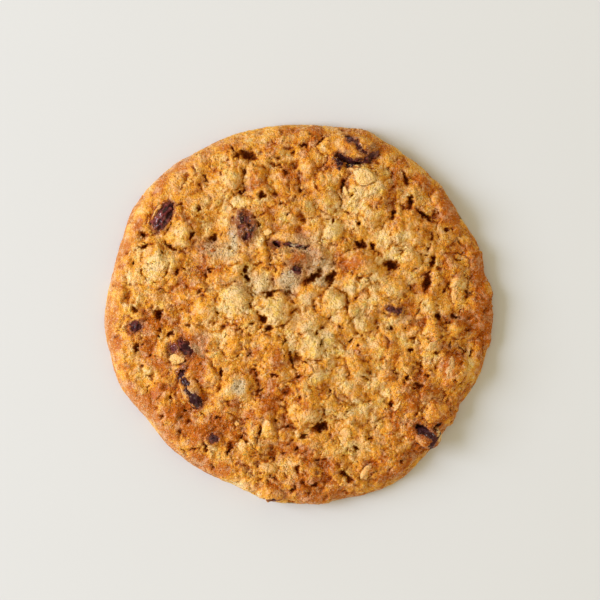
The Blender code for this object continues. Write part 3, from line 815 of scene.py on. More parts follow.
# Stands for the reach of a raisin's skin where a normal misses the raisin.
NO_SKIN = -99.0

# The relief is levelled so that it averages just under the smooth crust this far out, in mm.
LEVELLED_WAY = 38

# How deep a hole of depth 1, a whole moat and a whole crack are, in mm.
HOLE_DEPTH = 1.4
MOAT_DEPTH = 0.7
CRACK_DEPTH = 0.55


@cache
def raisin_pose(node):
    """Middle, turn and half sizes in mm of a raisin, from its solid's own points."""
    points = np.array([vert.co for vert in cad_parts[node].data.vertices]) / MM
    low, high = points.min(0), points.max(0)
    middle = (low + high) / 2
    axes = np.linalg.svd(points - points.mean(0), full_matrices=False)[2]
    up = axes[np.argmax(np.abs(axes[:, 2]))]
    up = up * np.sign(up[2])
    flat = [axis for axis in axes if abs(axis @ up) < 0.5]
    spans = [np.ptp(points @ axis) for axis in flat]
    along = flat[int(np.argmax(spans))]
    along = along * np.sign(along[0])
    turn = np.stack((along, np.cross(up, along), up), axis=1)
    local = (points - middle) @ turn
    half = np.ptp(local, axis=0) / 2
    return middle + turn @ ((local.min(0) + local.max(0)) / 2), turn, half


def raisin_nodes():
    return sorted(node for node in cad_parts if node.startswith("raisin"))


def skin_reach(node, place, normal, swell):
    """How far out along the crust's normals a raisin's outer skin lies, in mm, or NO_SKIN where there is none.

    Just inside its outline the skin is given as lower than it is, so the dough over it has no step there.
    """
    middle, turn, half = raisin_pose(node)
    start = (place - middle) @ turn / (half * swell)
    step = normal @ turn / (half * swell)
    square = (step**2).sum(-1)
    cross = (start * step).sum(-1)
    inside = cross**2 - square * ((start**2).sum(-1) - 1)
    depth = 1.4 * (1 - smooth_step(inside / square, 0.0, 0.3))
    return np.where(inside > 0, (np.sqrt(np.maximum(inside, 0)) - cross) / square - depth, NO_SKIN)


def lump_fields(x, y, smoothness):
    """The lumps' rise, the moats round them, their share of a place, and its smoothness and browning."""
    raised, moat, on_lump, browning = (np.zeros_like(x) for _ in range(4))
    for *oval, rise, smooth, browned in LUMPS:
        away = oval_distance(x, y, *oval)
        plateau = 0.75 * (1 - smooth_step(away, 0.6, 1.25)) + 0.25 * (1 - smooth_step(away, 0.0, 1.1))
        raised = soft_maximum(raised, (0.5 + 0.85 * rise) * plateau, 0.3)
        moat = np.maximum(moat * smooth_step(away, 0.7, 1.0), 1 - np.abs(away - 1.12) / 0.16)
        inside = 1 - smooth_step(away, 0.25, 1.3)
        on_lump = np.maximum(on_lump, inside)
        smoothness = np.maximum(smoothness, (0.35 + 0.6 * smooth) * inside)
        browning = browning * (1 - inside) + browned * inside
    return raised, np.maximum(moat, 0), on_lump, smoothness, browning


def pit_depth(x, y, craggy, rough, on_lump):
    """How deep the named holes are at each place, with a few vents and pinholes between them."""
    pit_x, pit_y = bent(x, y, (0.45, 1.9, 91, 95))
    pit = np.zeros_like(x)
    for *oval, depth in HOLES:
        away = oval_distance(pit_x, pit_y, *oval)
        pit = np.maximum(pit, HOLE_DEPTH * depth * (1 - smooth_step(away, 0.1, 1.4)))
    vents, _ = crowded_plates(pit_x, pit_y, 2.6, 101, fill=0.07)
    pinholes, _ = crowded_plates(pit_x, pit_y, 1.3, 111, fill=0.14)
    pit = np.maximum(pit, 1.1 * smooth_step(vents, 0.4, 0.95) * rough * (1 - on_lump))
    rim_share = 0.3 + 0.7 * craggy
    return np.maximum(pit, 0.8 * smooth_step(pinholes, 0.45, 0.95) * rim_share * (1 - 0.7 * on_lump))


@cache
def crust_lattice():
    """Places, normals, browning and hollows of the crust at each point of the lattice."""
    steps = round(2 * SHEET_HALF / SHEET_SPACING)
    line = np.linspace(-SHEET_HALF, SHEET_HALF, steps + 1)
    x, y = np.meshgrid(line, line, indexing="ij")
    way = np.hypot(x, y)

    # How far past the shoulder a place is, how far over to the cookie's +X side from 0 to 1, and how craggy.
    to_rim = way - shoulder_radius(x, y) + 0.9 * ripples(x, y, 5.0, 31)
    eastward = 0.5 + 0.5 * x / np.maximum(way, 1)
    craggy = 1 - (0.80 - 0.65 * eastward) * smooth_step(to_rim, -1.0, 2.4)
    smoothness = 0.30 * smooth_step(ripples(x, y, 11.0, 35), -0.1, 0.7)
    smoothness = with_swells(smoothness, x, y, SMOOTH_PATCHES)

    # Named lumps, and crowded mounds and grains of four sizes between and on them.
    lump_x, lump_y = bent(x, y, (0.55, 3.6, 131, 141), (0.18, 1.2, 135, 145))
    raised, moat, on_lump, smoothness, lump_browning = lump_fields(lump_x, lump_y, smoothness)
    veil = thin_dough(lump_x, lump_y)
    rough = craggy * (1 - 0.75 * smoothness) * (1 - 0.3 * veil)
    bent_x, bent_y = bent(x, y, (0.9, 5.0, 11, 21), (0.2, 1.4, 15, 25))
    big, big_share, big_border = mounds(bent_x, bent_y, 5.6, 41)
    medium, medium_share, medium_border = mounds(bent_x, bent_y, 2.8, 51)
    small, small_share, small_border = mounds(bent_x, bent_y, 1.35, 61)
    grain, grain_share = crowded_plates(x, y, 0.85, 71, crown=0.7)

    # Cracks run along some of the mounds' borders, and a moat lies round part of each lump.
    crack = 0.9 * (1 - smooth_step(big_border, 0.1, 0.5)) * smooth_step(ripples(x, y, 7.0, 183), -0.2, 0.5)
    finer = 0.7 * (1 - smooth_step(medium_border, 0.05, 0.4))
    finer = finer * smooth_step(ripples(x, y, 4.5, 187), -0.1, 0.6)
    crack = np.maximum(crack, finer) * rough
    moat = moat * craggy * smooth_step(ripples(x, y, 6.0, 181), -0.2, 0.4)

    terraces = 0.9 * blurred(big_share, 1.2) + 0.7 * big
    relief = craggy * soft_maximum(1.25 * raised, 1.3 * terraces - 0.4, 0.4)
    relief += 1.2 * ripples(x, y, 12.0, 151, 2) * craggy
    relief += (0.32 * (blurred(medium_share, 0.9) - 0.5) + 0.24 * medium) * rough
    pebbles = 0.20 * (blurred(small_share, 0.6) - 0.5) + 0.12 * small + 0.1 * np.minimum(small_border, 0.3)
    relief += pebbles * rough
    relief += 0.28 * (grain - 0.45) * (0.25 + 0.75 * rough)
    relief -= MOAT_DEPTH * moat
    relief -= CRACK_DEPTH * crack
    relief -= (relief[way < LEVELLED_WAY].mean() + 0.2) * (0.15 + 0.85 * craggy)
    pit = pit_depth(x, y, craggy, rough, on_lump)
    relief = relief - pit
    relief = relief * (1 - smooth_step(to_rim, 5.4, 7.4))

    # Dough bulges over each raisin, and opens where its skin shows.
    base, normal = wrap(x, y)
    cover = 0.26 + 0.26 * (small + grain) * (1 - veil)
    stain = painted(lump_x, lump_y, STAINED_DOUGH, 0.4, 1.15)
    for node in raisin_nodes():
        skin = skin_reach(node, base, normal, 1.07)
        over_raisin = skin > NO_SKIN
        outside = window_distance(x, y, node)
        feathered = skin + cover * (0.2 + 0.8 * smooth_step(outside, 0.1, 1.2))
        bulge = np.minimum(feathered, 2.6 - 1.5 * smooth_step(to_rim, 0.5, 3.5))
        relief = np.where(over_raisin, soft_maximum(bulge, relief, 0.9), relief)
        open_share = (1 - smooth_step(outside, -0.3, 0.25)) * over_raisin
        relief = relief - open_share * np.maximum(0, relief - skin + 0.8)
        near = 1 - smooth_step(outside, 0.1, 1.3)
        stain = np.maximum(stain, 0.8 * near * (1 - veil))
        lump_browning = lump_browning + 0.25 * near

    place = base + normal * relief[..., None]
    place[..., 2] = np.clip(place[..., 2], 0, HIGHEST)
    facing = np.cross(np.gradient(place, axis=0), np.gradient(place, axis=1))
    facing = facing / np.maximum(np.linalg.norm(facing, axis=-1, keepdims=True), 1e-9)

    # Browning follows the patches, the mounds' shares, the hollows, where browner dough is painted shade, and
    # the rim.
    hollow_fine = blurred(relief, 1.4) - relief
    hollow_wide = blurred(relief, 4.6) - relief
    patches = with_swells(np.zeros_like(x), x, y, BROWNED_PATCHES)
    browning = 0.45 + 0.05 * smooth_step(way, 8, 36) + 1.25 * patches + lump_browning
    waves = 0.20 * ripples(x, y, 16.0, 127, 2) + 0.34 * ripples(x, y, 7.0, 121)
    browning += waves + 0.08 * ripples(x, y, 2.4, 125)
    browning += 0.20 * (big_share - 0.5) + 0.14 * (medium_share - 0.5)
    browning += 0.08 * (small_share - 0.5) + 0.03 * (grain_share - 0.5)
    browning += 0.08 * np.clip(hollow_fine / 0.5, -0.6, 1) + 0.10 * np.clip(hollow_wide / 1.0, -0.6, 1)
    # Towards the rim the dough is browned: more on the +X side, away from the window, as painted shade, and in
    # a band on the -X side, with the outermost +X edge a little paler.
    browning += (0.36 * eastward**2 - 0.04) * smooth_step(to_rim, -1.0, 4.0)
    browning += 0.34 * np.maximum(0, 1 - 2 * eastward) * smooth_step(to_rim, 0.2, 2.2)
    browning -= 0.16 * eastward * smooth_step(to_rim, 2.6, 4.2)

    # Painted shade in the fine and the wide hollows, stronger in the middle of the cookie, and in the holes,
    # cracks and moats.
    deep = 0.10 + 0.22 * np.exp(-((way / 15) ** 2))
    shade = 0.40 * np.clip(hollow_fine / 0.55, 0, 1) + deep * np.clip(hollow_wide / 1.2, 0, 1)
    oats = painted(lump_x, lump_y, [(*oval, pale**2) for *oval, pale in BARE_OATS], 0.6, 1.3)
    return SimpleNamespace(
        steps=steps,
        place=place,
        facing=facing,
        browning=browning,
        hollow_shade=np.clip(shade, 0, 1) + 0.45 * smooth_step(pit, 0.3, 1.6) + 0.24 * crack + 0.16 * moat,
        smooth=np.clip(smoothness + 0.5 * (1 - craggy), 0, 1),
        # The -X rim, which faces the window, is tinted paler towards oat: partly its own tan, partly painted
        # light.
        oat=oats + 0.14 * smooth_step(to_rim, 0.0, 4.0) * (1 - eastward),
        veil=veil,
        stain=stain,
        rough=rough,
    )


def lattice_index(x, y):
    """Row and column of the lattice point nearest to a place on the sheet, in mm."""
    last = crust_lattice().steps
    return (
        min(last, max(0, round((x + SHEET_HALF) / SHEET_SPACING))),
        min(last, max(0, round((y + SHEET_HALF) / SHEET_SPACING))),
    )


# --------------------------------------------------------------------------------------------------
# Shader building.


class Signal:
    """A number from a shader socket. Arithmetic on it adds Math nodes."""

    def __init__(self, tree, socket):
        self.tree = tree
        self.socket = socket

    def math(self, operation, *operands, clamp=False):
        node = self.tree.nodes.new("ShaderNodeMath")
        node.operation = operation
        node.use_clamp = clamp
        for socket, operand in zip(node.inputs, operands):
            if isinstance(operand, Signal):
                self.tree.links.new(operand.socket, socket)
            else:
                socket.default_value = operand
        return Signal(self.tree, node.outputs[0])

    def __add__(self, other):
        return self.math("ADD", self, other)

    def __radd__(self, other):
        return self.math("ADD", other, self)

    def __sub__(self, other):
        return self.math("SUBTRACT", self, other)

    def __rsub__(self, other):
        return self.math("SUBTRACT", other, self)

    def __mul__(self, other):
        return self.math("MULTIPLY", self, other)

    def __rmul__(self, other):
        return self.math("MULTIPLY", other, self)

    def clamped(self):
        return self.math("ADD", self, 0.0, clamp=True)

    def step(self, low, high):
        """0 below low, 1 above high and smooth between."""
        node = self.tree.nodes.new("ShaderNodeMapRange")
        node.interpolation_type = "SMOOTHSTEP"
        self.tree.links.new(self.socket, node.inputs["Value"])
        node.inputs["From Min"].default_value = low
        node.inputs["From Max"].default_value = high
        return Signal(self.tree, node.outputs["Result"])


# Dough scatters a little light and hardly mirrors any. Its sheen is a thin coat of fat and sugar.
DOUGH_SHEEN = {
    "IOR": 1.42,
    "Specular IOR Level": 0.08,
    "Coat Roughness": 0.24,
    "Coat IOR": 1.45,
    "Subsurface Weight": 0.8,
    "Subsurface Radius": (1.0, 0.94, 0.80),
    "Subsurface Scale": 0.28 * MM,
}


class Finish:
    """A new material, and short ways to add nodes to it."""

    def __init__(self, name):
        self.material = bpy.data.materials.new(name)
        self.material.use_nodes = True
        self.tree = self.material.node_tree
        self.shader = self.tree.nodes["Principled BSDF"]
        self.coordinates = self.node("ShaderNodeTexCoord").outputs["Object"]

    def node(self, kind, settings=None, inputs=None):
        node = self.tree.nodes.new(kind)
        for name, value in (settings or {}).items():
            setattr(node, name, value)
        for name, value in (inputs or {}).items():
            self.feed(node.inputs[name], value)
        return node

    def feed(self, socket, value):
        if isinstance(value, Signal):
            value = value.socket
        if isinstance(value, bpy.types.NodeSocket):
            self.tree.links.new(value, socket)
        else:
            socket.default_value = value

    def set(self, **inputs):
        for name, value in inputs.items():
            self.feed(self.shader.inputs[name.replace("_", " ")], value)

    def attribute(self, name):
        node = self.node("ShaderNodeAttribute", {"attribute_name": name})
        return Signal(self.tree, node.outputs["Fac"])

    def noise(self, size, detail=2.0, roughness=0.5):
        """Soft noise from 0 to 1 whose blotches are about size mm wide."""
        inputs = {"Scale": 1 / (size * MM), "Detail": detail, "Roughness": roughness}
        node = self.node("ShaderNodeTexNoise", None, {"Vector": self.coordinates, **inputs})
        return Signal(self.tree, node.outputs["Fac"])

    def cells(self, size):
        """Distance from the middles of random cells about size mm wide, as a share of size."""
        node = self.node("ShaderNodeTexVoronoi", None, {"Vector": self.coordinates, "Scale": 1 / (size * MM)})
        return Signal(self.tree, node.outputs["Distance"])

    def mix(self, share, first, second, blend="MIX"):
        """A colour between two colours."""
        node = self.node("ShaderNodeMix", {"data_type": "RGBA", "blend_type": blend})
        self.feed(node.inputs[0], share)
        self.feed(node.inputs[6], first)
        self.feed(node.inputs[7], second)
        return node.outputs[2]

    def bump(self, height, distance):
        """A surface normal bent by a height signal that spans distance in mm."""
        inputs = {"Height": height, "Distance": distance * MM, "Strength": 1.0}
        return self.node("ShaderNodeBump", None, inputs).outputs["Normal"]


def dough_finish(name, colours, darker=0.0):
    """Baked dough, browned by the mesh's own attributes, with fine grain, pores and sugary glints, painted
    shade in its hollows, pores and between grains, and pale sugary specks that are partly painted highlights.
    """
    finish = Finish(name)
    hollow_shade = finish.attribute("hollow_shade")
    smooth = finish.attribute("smooth")
    oat = finish.attribute("oat")
    veil = finish.attribute("veil")
    grain = finish.noise(0.8)
    blotch = finish.noise(2.8, detail=3.0)
    pellets = finish.cells(0.9)
    pore_pick = finish.noise(2.4, detail=1.0)
    pore = (1 - finish.cells(1.1).step(0.08, 0.34)) * pore_pick.step(0.56, 0.66)

    # Painted shade: the gaps between grains and the hollows are browned.
    gap_shade = pellets.step(0.34, 0.70)
    browning = finish.attribute("browning") + (gap_shade - 0.3) * 0.06 + (blotch - 0.5) * 0.75
    browning = browning + hollow_shade * 0.35 + darker
    colour = finish.mix(browning.step(-0.12, 0.46), colours.pale_dough, colours.golden_dough)
    colour = finish.mix(browning.step(0.36, 0.90), colour, colours.brown_dough)
    # Pale sugar patches, partly painted highlights, and a syrup tint between them.
    sweet = finish.noise(1.7, detail=3.0)
    colour = finish.mix(sweet.step(0.50, 0.64) * 0.28, colour, colours.sugar_and_glint)
    colour = finish.mix((1 - sweet).step(0.50, 0.64) * 0.75, colour, colours.syrup, "MULTIPLY")
    colour = finish.mix(oat.clamped() * 0.85, colour, colours.oat)
    thin = (veil * 1.2 + (blotch - 0.5) * 1.2 - 0.2).clamped()
    colour = finish.mix(thin * 0.88, colour, colours.dough_film)
    speck = (1 - finish.cells(0.6).step(0.16, 0.34)) * thin * pore_pick.step(0.34, 0.50)
    soaked = (finish.attribute("stain") * 1.3 + (blotch - 0.5) * 0.9 + (grain - 0.5) * 0.5 - 0.15).clamped()
    stain = soaked * (1 - veil * 0.85) * (1 - oat.clamped())
    colour = finish.mix(stain * 0.92, colour, colours.raisin_stain)
    skin = finish.attribute("stain") + (blotch - 0.5) * 1.2 + (grain - 0.5) * 0.8 - oat * 2.0
    skin = skin.step(1.0, 1.25)
    colour = finish.mix(skin, colour, colours.raisin)
    colour = finish.mix(speck * 0.9, colour, colours.raisin)
    # Painted shade: the hollows and the gaps between grains take the crevice tint, and deep hollows and pores
    # the dark shade colour.
    colour = finish.mix((hollow_shade * 1.6 + gap_shade * 0.1).clamped(), colour, colours.crevice_shade, "MULTIPLY")
    shade = (hollow_shade.step(0.30, 1.0) * 0.95 + pore * 0.36 * (1 - smooth * 0.7)).clamped()
    colour = finish.mix(shade, colour, colours.hole_shade)
    # Fine dark flecks take the crevice shade tint too.
    fleck = finish.noise(0.34, detail=1.0).step(0.54, 0.72) * (1 - smooth * 0.75)
    colour = finish.mix(fleck * 0.45, colour, colours.crevice_shade, "MULTIPLY")
    glint = (1 - pellets.step(0.10, 0.45)) * grain.step(0.46, 0.58)
    # Fine pale sugar specks away from the painted shade, partly painted highlights; the same noise roughens
    # the bump.
    sugar_and_glint = finish.noise(0.42, detail=1.0)
    colour = finish.mix(sugar_and_glint.step(0.58, 0.72) * 0.35 * (1 - shade), colour, colours.sugar_and_glint)
    finish.set(Base_Color=colour)
    finish.set(Roughness=0.62 - smooth * 0.18 + (grain - 0.5) * 0.3)
    sheen = glint * (1.2 - smooth) + stain * grain.step(0.5, 0.6) * 0.5
    sheen = sheen + skin * sweet.step(0.50, 0.56) + smooth * 0.2
    finish.set(Coat_Weight=(sheen * (1 - shade)).clamped())
    grit = (1 - pellets * pellets) * 0.5 + grain * 0.4 + sugar_and_glint * 1.1 - pore * 0.8 - speck
    finish.set(Normal=finish.bump(grit * (1 - smooth * 0.5), 0.72))
    for name, value in DOUGH_SHEEN.items():
        finish.shader.inputs[name].default_value = value
    return finish.material


def raisin_finish(colours):
    """Dark wrinkled fruit skin with worn ridges, and a thin film of dough where the mesh says so."""
    finish = Finish("raisin skin")
    ridge = finish.attribute("ridge")
    film = finish.attribute("film")
    mottle = finish.noise(1.3, detail=3.0, roughness=0.6)
    speck = finish.noise(0.45)
    worn = (ridge * 0.8 + (mottle - 0.5) * 1.4).step(0.25, 1.0)
    colour = finish.mix(worn, colours.raisin, colours.raisin_ridge)
    edge = (finish.attribute("edge") * 1.4 + (mottle - 0.5) * 1.2 - 0.2).clamped()
    colour = finish.mix(edge * 0.35, colour, colours.raisin_stain)
    cover = (film - (speck - 0.5) * 1.2 - (mottle - 0.5) * 1.4 - 0.3).step(0.15, 0.50)
    colour = finish.mix(cover, colour, colours.dough_film)
    wet = (mottle * 0.5 + finish.noise(0.7, detail=1.0) * 0.5).step(0.50, 0.56) * (1 - cover)
    finish.set(Base_Color=colour)
    finish.set(Roughness=0.50 + cover * 0.15 - wet * 0.18)
    finish.set(Coat_Weight=wet)
    finish.set(Coat_Roughness=0.08)
    finish.set(Specular_IOR_Level=0.14)
    finish.set(Normal=finish.bump(speck * 0.8 + mottle, 0.55))
    return finish.material


def floor_finish(colours):
    finish = Finish("pale floor")
    soft = finish.noise(60.0, detail=1.0)
    shade = tuple(channel * 0.985 for channel in colours.floor[:3]) + (1.0,)
    finish.set(Base_Color=finish.mix(soft, colours.floor, shade))
    finish.set(Roughness=0.85)
    return finish.material


@cache
def finishes():
    colours = bpy.context.scene.cookie_colours
    return SimpleNamespace(
        dough=dough_finish("baked dough", colours),
        underside=dough_finish("baked underside", colours, darker=0.14),
        raisin=raisin_finish(colours),
    )


# --------------------------------------------------------------------------------------------------
# Pieces.


def mesh_of(name, bm):
    mesh = bpy.data.meshes.new(name)
    bm.to_mesh(mesh)
    bm.free()
    return mesh


def finished_object(name, bm, material):
    """Turns a bmesh into an object that rides on the cookie's body."""
    mesh = mesh_of(name, bm)
    mesh.shade_smooth()
    mesh.materials.append(material)
    piece = bpy.data.objects.new(name, mesh)
    bpy.context.scene.collection.objects.link(piece)
    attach(piece, "root")
    return piece


def flat_sheet(spacing):
    """A flat sheet of small faces, its dough layers, and the x and y of its points in mm."""
    steps = round(2 * SHEET_HALF / spacing)
    bm = bmesh.new()
    bmesh.ops.create_grid(bm, x_segments=steps, y_segments=steps, size=SHEET_HALF)
    layers = {name: bm.verts.layers.float.new(name) for name in DOUGH_LAYERS}
    x, y, _ = np.array([vert.co for vert in bm.verts]).T
    return bm, layers, x, y


def close_sheet(bm, outside, inset, lip_share, lip_height):
    """Cuts off the faces outside, sets the edge an inset inside the outline, and adds a lip and a lid."""
    beyond = [face for face in bm.faces if all(outside[vert.index] for vert in face.verts)]
    bmesh.ops.delete(bm, geom=beyond, context="FACES")
    edge_loop = [edge for edge in bm.edges if edge.is_boundary]
    for vert in {vert for edge in edge_loop for vert in edge.verts}:
        radius = (radius_towards(vert.co) - inset) * MM
        outward = vert.co.xy.normalized() * radius
        vert.co = (outward.x, outward.y, 0)
    for edge in edge_loop:
        edge.smooth = False
    lip = bmesh.ops.extrude_edge_only(bm, edges=edge_loop)["geom"]
    for vert in (item for item in lip if isinstance(item, bmesh.types.BMVert)):
        vert.co = (vert.co.x * lip_share, vert.co.y * lip_share, lip_height * MM)
    bmesh.ops.contextual_create(bm, geom=[item for item in lip if isinstance(item, bmesh.types.BMEdge)])
    bmesh.ops.recalc_face_normals(bm, faces=bm.faces)


class COOKIE_OT_crust(bpy.types.Operator):
    """Wraps the dough's craggy crust over the cookie and closes it underneath"""

    bl_idname = "cookie.crust"
    bl_label = "Dough Crust"

    def execute(self, context):
        lattice = crust_lattice()
        bm, layers, x, y = flat_sheet(SHEET_SPACING)
        column = np.rint((x + SHEET_HALF) / SHEET_SPACING).astype(int)
        row = np.rint((y + SHEET_HALF) / SHEET_SPACING).astype(int)
        place = lattice.place[column, row] * MM
        fields = {name: getattr(lattice, name)[column, row] for name in DOUGH_LAYERS}
        for at, vert in enumerate(bm.verts):
            vert.co = place[at]
            for name, field in fields.items():
                vert[layers[name]] = field[at]
        outside = np.hypot(x, y) > shoulder_radius(x, y) + RIM_ARC - SHEET_SPACING / 3
        close_sheet(bm, outside, RIM_WIDTH * (1 - math.cos(FOOT_TUCK)), FOOT_LIP, FOOT_HEIGHT)
        crust = finished_object("dough_crust", bm, finishes().dough)
        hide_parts("dough")
        return {"FINISHED"}


UNDERSIDE_SPACING = 0.7
UNDERSIDE_DEPTH = 1.0
UNDERSIDE_INSET = 0.5


class COOKIE_OT_underside(bpy.types.Operator):
    """Models the browned, pitted underside that lay on the baking sheet"""

    bl_idname = "cookie.underside"
    bl_label = "Baked Underside"

    def execute(self, context):
        bm, layers, x, y = flat_sheet(UNDERSIDE_SPACING)
        way = np.hypot(x, y)
        reach = outline_radius(np.degrees(np.arctan2(y, x))) - UNDERSIDE_INSET
        wide, _ = crowded_plates(*bent(x, y, (1.0, 3.0, 201, 205)), 5.2, 211, fill=0.45)
        fine, _ = crowded_plates(x, y, 2.1, 221, fill=0.5)
        pit = 0.55 * smooth_step(wide, 0.45, 0.9) + 0.35 * smooth_step(fine, 0.5, 0.9)
        pit = pit * (1 - smooth_step(way - reach, -2.5, -0.8))
        browning = 0.46 + 0.20 * smooth_step(way / reach, 0.6, 0.97) + 0.18 * ripples(x, y, 7.0, 231)
        for at, vert in enumerate(bm.verts):
            vert.co = (x[at] * MM, y[at] * MM, pit[at] * MM)
            vert[layers["browning"]] = browning[at] - 0.5 * pit[at]
            # The pits get painted shade.
            vert[layers["hollow_shade"]] = 0.5 * pit[at]
            vert[layers["smooth"]] = 0.4
        close_sheet(bm, way > reach - UNDERSIDE_SPACING / 3, UNDERSIDE_INSET, 1.0, UNDERSIDE_DEPTH)
        finished_object("dough_underside", bm, finishes().underside)
        return {"FINISHED"}


# How far inside the outline every raisin's skin stays, in mm.
SKIN_MARGIN = 0.5

# Fixes the random vectors that bend the wrinkles.
WRINKLE_SEED = 1


def shrivelled(point, seed):
    """How far a raisin's skin stands in or out at a point of the unit ball, and its ridge's height there."""
    warp = noise.noise_vector(Vector(point) * 1.6 + Vector((seed, 0, 0))) * 0.35
    stretched = Vector((point.x * 1.1, point.y * 2.3, point.z * 2.3)) + warp + Vector((seed * 3.1, 0, 0))
    folds = 1 - 2.2 * abs(noise.noise(stretched * 1.25))
    creases = 1 - 2.2 * abs(noise.noise(stretched * 2.9 + Vector((7, 0, 0))))
    return 0.15 * folds + 0.06 * creases - 0.12, 0.6 * folds + 0.4 * creases


class COOKIE_OT_raisins(bpy.types.Operator):
    """Models each raisin with its shrivelled skin, where its solid is"""

    bl_idname = "cookie.raisins"
    bl_label = "Raisins"

    def execute(self, context):
        noise.seed_set(WRINKLE_SEED)
        for seed, node in enumerate(raisin_nodes()):
            middle, turn, half = raisin_pose(node)
            bm = bmesh.new()
            bmesh.ops.create_icosphere(bm, subdivisions=5 if half[0] > 3 else 4, radius=1)
            ridge = bm.verts.layers.float.new("ridge")
            film = bm.verts.layers.float.new("film")
            edge = bm.verts.layers.float.new("edge")
            for vert in bm.verts:
                stand, height = shrivelled(vert.co, seed * 5.3)
                vert[ridge] = height + WORN.get(node, 0.0)
                vert.co = vert.co * (1.03 + stand)
            scale = Matrix.Diagonal(Vector(half * MM)).to_4x4()
            pose = Matrix.Translation(Vector(middle * MM)) @ Matrix(turn.tolist()).to_4x4()
            bmesh.ops.transform(bm, matrix=pose @ scale, verts=bm.verts)
            for vert in bm.verts:
                furthest = (radius_towards(vert.co) - SKIN_MARGIN) * MM
                if vert.co.xy.length > furthest:
                    vert.co.xy *= furthest / vert.co.xy.length
            places = np.array([vert.co for vert in bm.verts]) / MM
            veils = smooth_step(thin_dough(places[:, 0], places[:, 1]), 0.45, 1.0)
            borders = smooth_step(window_distance(places[:, 0], places[:, 1], node), -0.7, 0.2)
            borders = borders * (1 + min(0.0, WORN.get(node, 0.0)))
            for vert, veil, border in zip(bm.verts, veils, borders):
                vert[film] = veil
                vert[edge] = border
            piece = finished_object("skin_of_" + node, bm, finishes().raisin)
            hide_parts(node)
        return {"FINISHED"}


def placed_copies(name, shapes, placements, material):
    """One piece made of many copies: each placement has a shape, a matrix and the copy's layer values."""
    bm = bmesh.new()
    for shape, matrix, _ in placements:
        copy = shapes[shape].copy()
        copy.transform(matrix)
        bm.from_mesh(copy)
        bpy.data.meshes.remove(copy)
    piece = finished_object(name, bm, material)
    counts = [len(shapes[shape].vertices) for shape, _, _ in placements]
    for layer in placements[0][2]:
        field = np.repeat([values[layer] for _, _, values in placements], counts)
        piece.data.attributes.new(layer, "FLOAT", "POINT").data.foreach_set("value", field)
    return piece


def rough_ball(seed, subdivisions):
    """A rough ball 1 mm across, whose lower half has painted shade, like dough deep between lumps."""
    bm = bmesh.new()
    bmesh.ops.create_icosphere(bm, subdivisions=subdivisions, radius=0.5 * MM)
    hollow_shade = bm.verts.layers.float.new("hollow_shade")
    for vert in bm.verts:
        way = vert.co.normalized()
        vert[hollow_shade] = 0.75 * (1 - max(0.0, min(1.0, 0.35 + 1.3 * way.z)))
        swell = 0.8 * noise.noise(way * 1.5 + Vector((seed * 4.7, 0, 0)))
        swell += 0.4 * noise.noise(way * 3.3 + Vector((seed * 2.9, 5, 0)))
        vert.co *= 1 + swell
    return mesh_of("rough ball", bm)


def lean_to(facing, lean, rng):
    """A turn that stands a copy's up axis near a normal, leaning by some degrees, and spun at random."""
    swing = Vector([rng.uniform(-1, 1) for _ in range(3)]) * math.tan(math.radians(lean))
    up = (Vector(facing) + swing).normalized()
    spin = Matrix.Rotation(rng.uniform(0, math.tau), 4, "Z")
    return up.to_track_quat("Z", "Y").to_matrix().to_4x4() @ spin


def free_of_raisins(place, margin):
    """Whether a place on the crust, in mm, is clear of every raisin by a margin in mm."""
    for node in raisin_nodes():
        middle, turn, half = raisin_pose(node)
        local = (place - middle) @ turn
        if math.hypot(local[0] / (half[0] + margin), local[1] / (half[1] + margin)) < 1:
            return False
    return True


# How far out crumbs and loose flakes lie, in mm.
STREWN_WAY = 42.5
FLAKES_WAY = 42


def strewn(count, rng, furthest, shapes, choose):
    """Placements on the crust: choose gives a copy's size, sink, lean and layer values, or None."""
    lattice = crust_lattice()
    placements = []
    while len(placements) < count:
        way = furthest * math.sqrt(rng.random())
        bearing = rng.uniform(0, math.tau)
        at = lattice_index(way * math.cos(bearing), way * math.sin(bearing))
        chosen = choose(lattice, at)
        if chosen is None:
            continue
        size, sink, lean, values = chosen
        place = lattice.place[at] - lattice.facing[at] * sink
        if not size[1] < place[2] < HIGHEST - size[2] / 2:
            continue
        turn = lean_to(lattice.facing[at], lean, rng)
        matrix = Matrix.Translation(Vector(place) * MM) @ turn @ Matrix.Diagonal((*size, 1))
        placements.append((rng.randrange(len(shapes)), matrix, values))
    return placements


class COOKIE_OT_crumbs(bpy.types.Operator):
    """Scatters rough grains of dough over the craggy crust"""

    bl_idname = "cookie.crumbs"
    bl_label = "Crumbs"

    def execute(self, context):
        sizes = context.scene.cookie_sizes
        self.scatter("dough_crumbs", sizes.crumb_count, 5, 2, 0.5, 1.2)
        self.scatter("dough_grains", sizes.grain_count, 7, 1, 0.26, 0.55)
        return {"FINISHED"}

    def scatter(self, name, count, seed, subdivisions, least, most):
        """Makes one piece of many rough balls, each from least to most mm wide."""
        rng = random.Random(seed)
        shapes = [rough_ball(shape, subdivisions) for shape in range(12)]

        def choose(lattice, at):
            if rng.random() > lattice.rough[at] + 0.25 or lattice.hollow_shade[at] > 0.6:
                return None
            if rng.random() < lattice.veil[at] * 0.8 or not free_of_raisins(lattice.place[at], 0.1):
                return None
            size = least + (most - least) * rng.random() ** 2
            values = {
                "browning": lattice.browning[at] + rng.uniform(-0.28, 0.24),
                "smooth": 0.2 + 0.5 * rng.random() ** 3,
                "oat": 0.6 * rng.random() ** 9,
            }
            length, height = size * rng.uniform(0.8, 1.5), size * rng.uniform(0.6, 0.9)
            return (length, size, height), 0.28 * size, 30, values

        placed_copies(name, shapes, strewn(count, rng, STREWN_WAY, shapes, choose), finishes().dough)


FLAKE_LENGTH = 4.2
FLAKE_WIDTH = 3.2


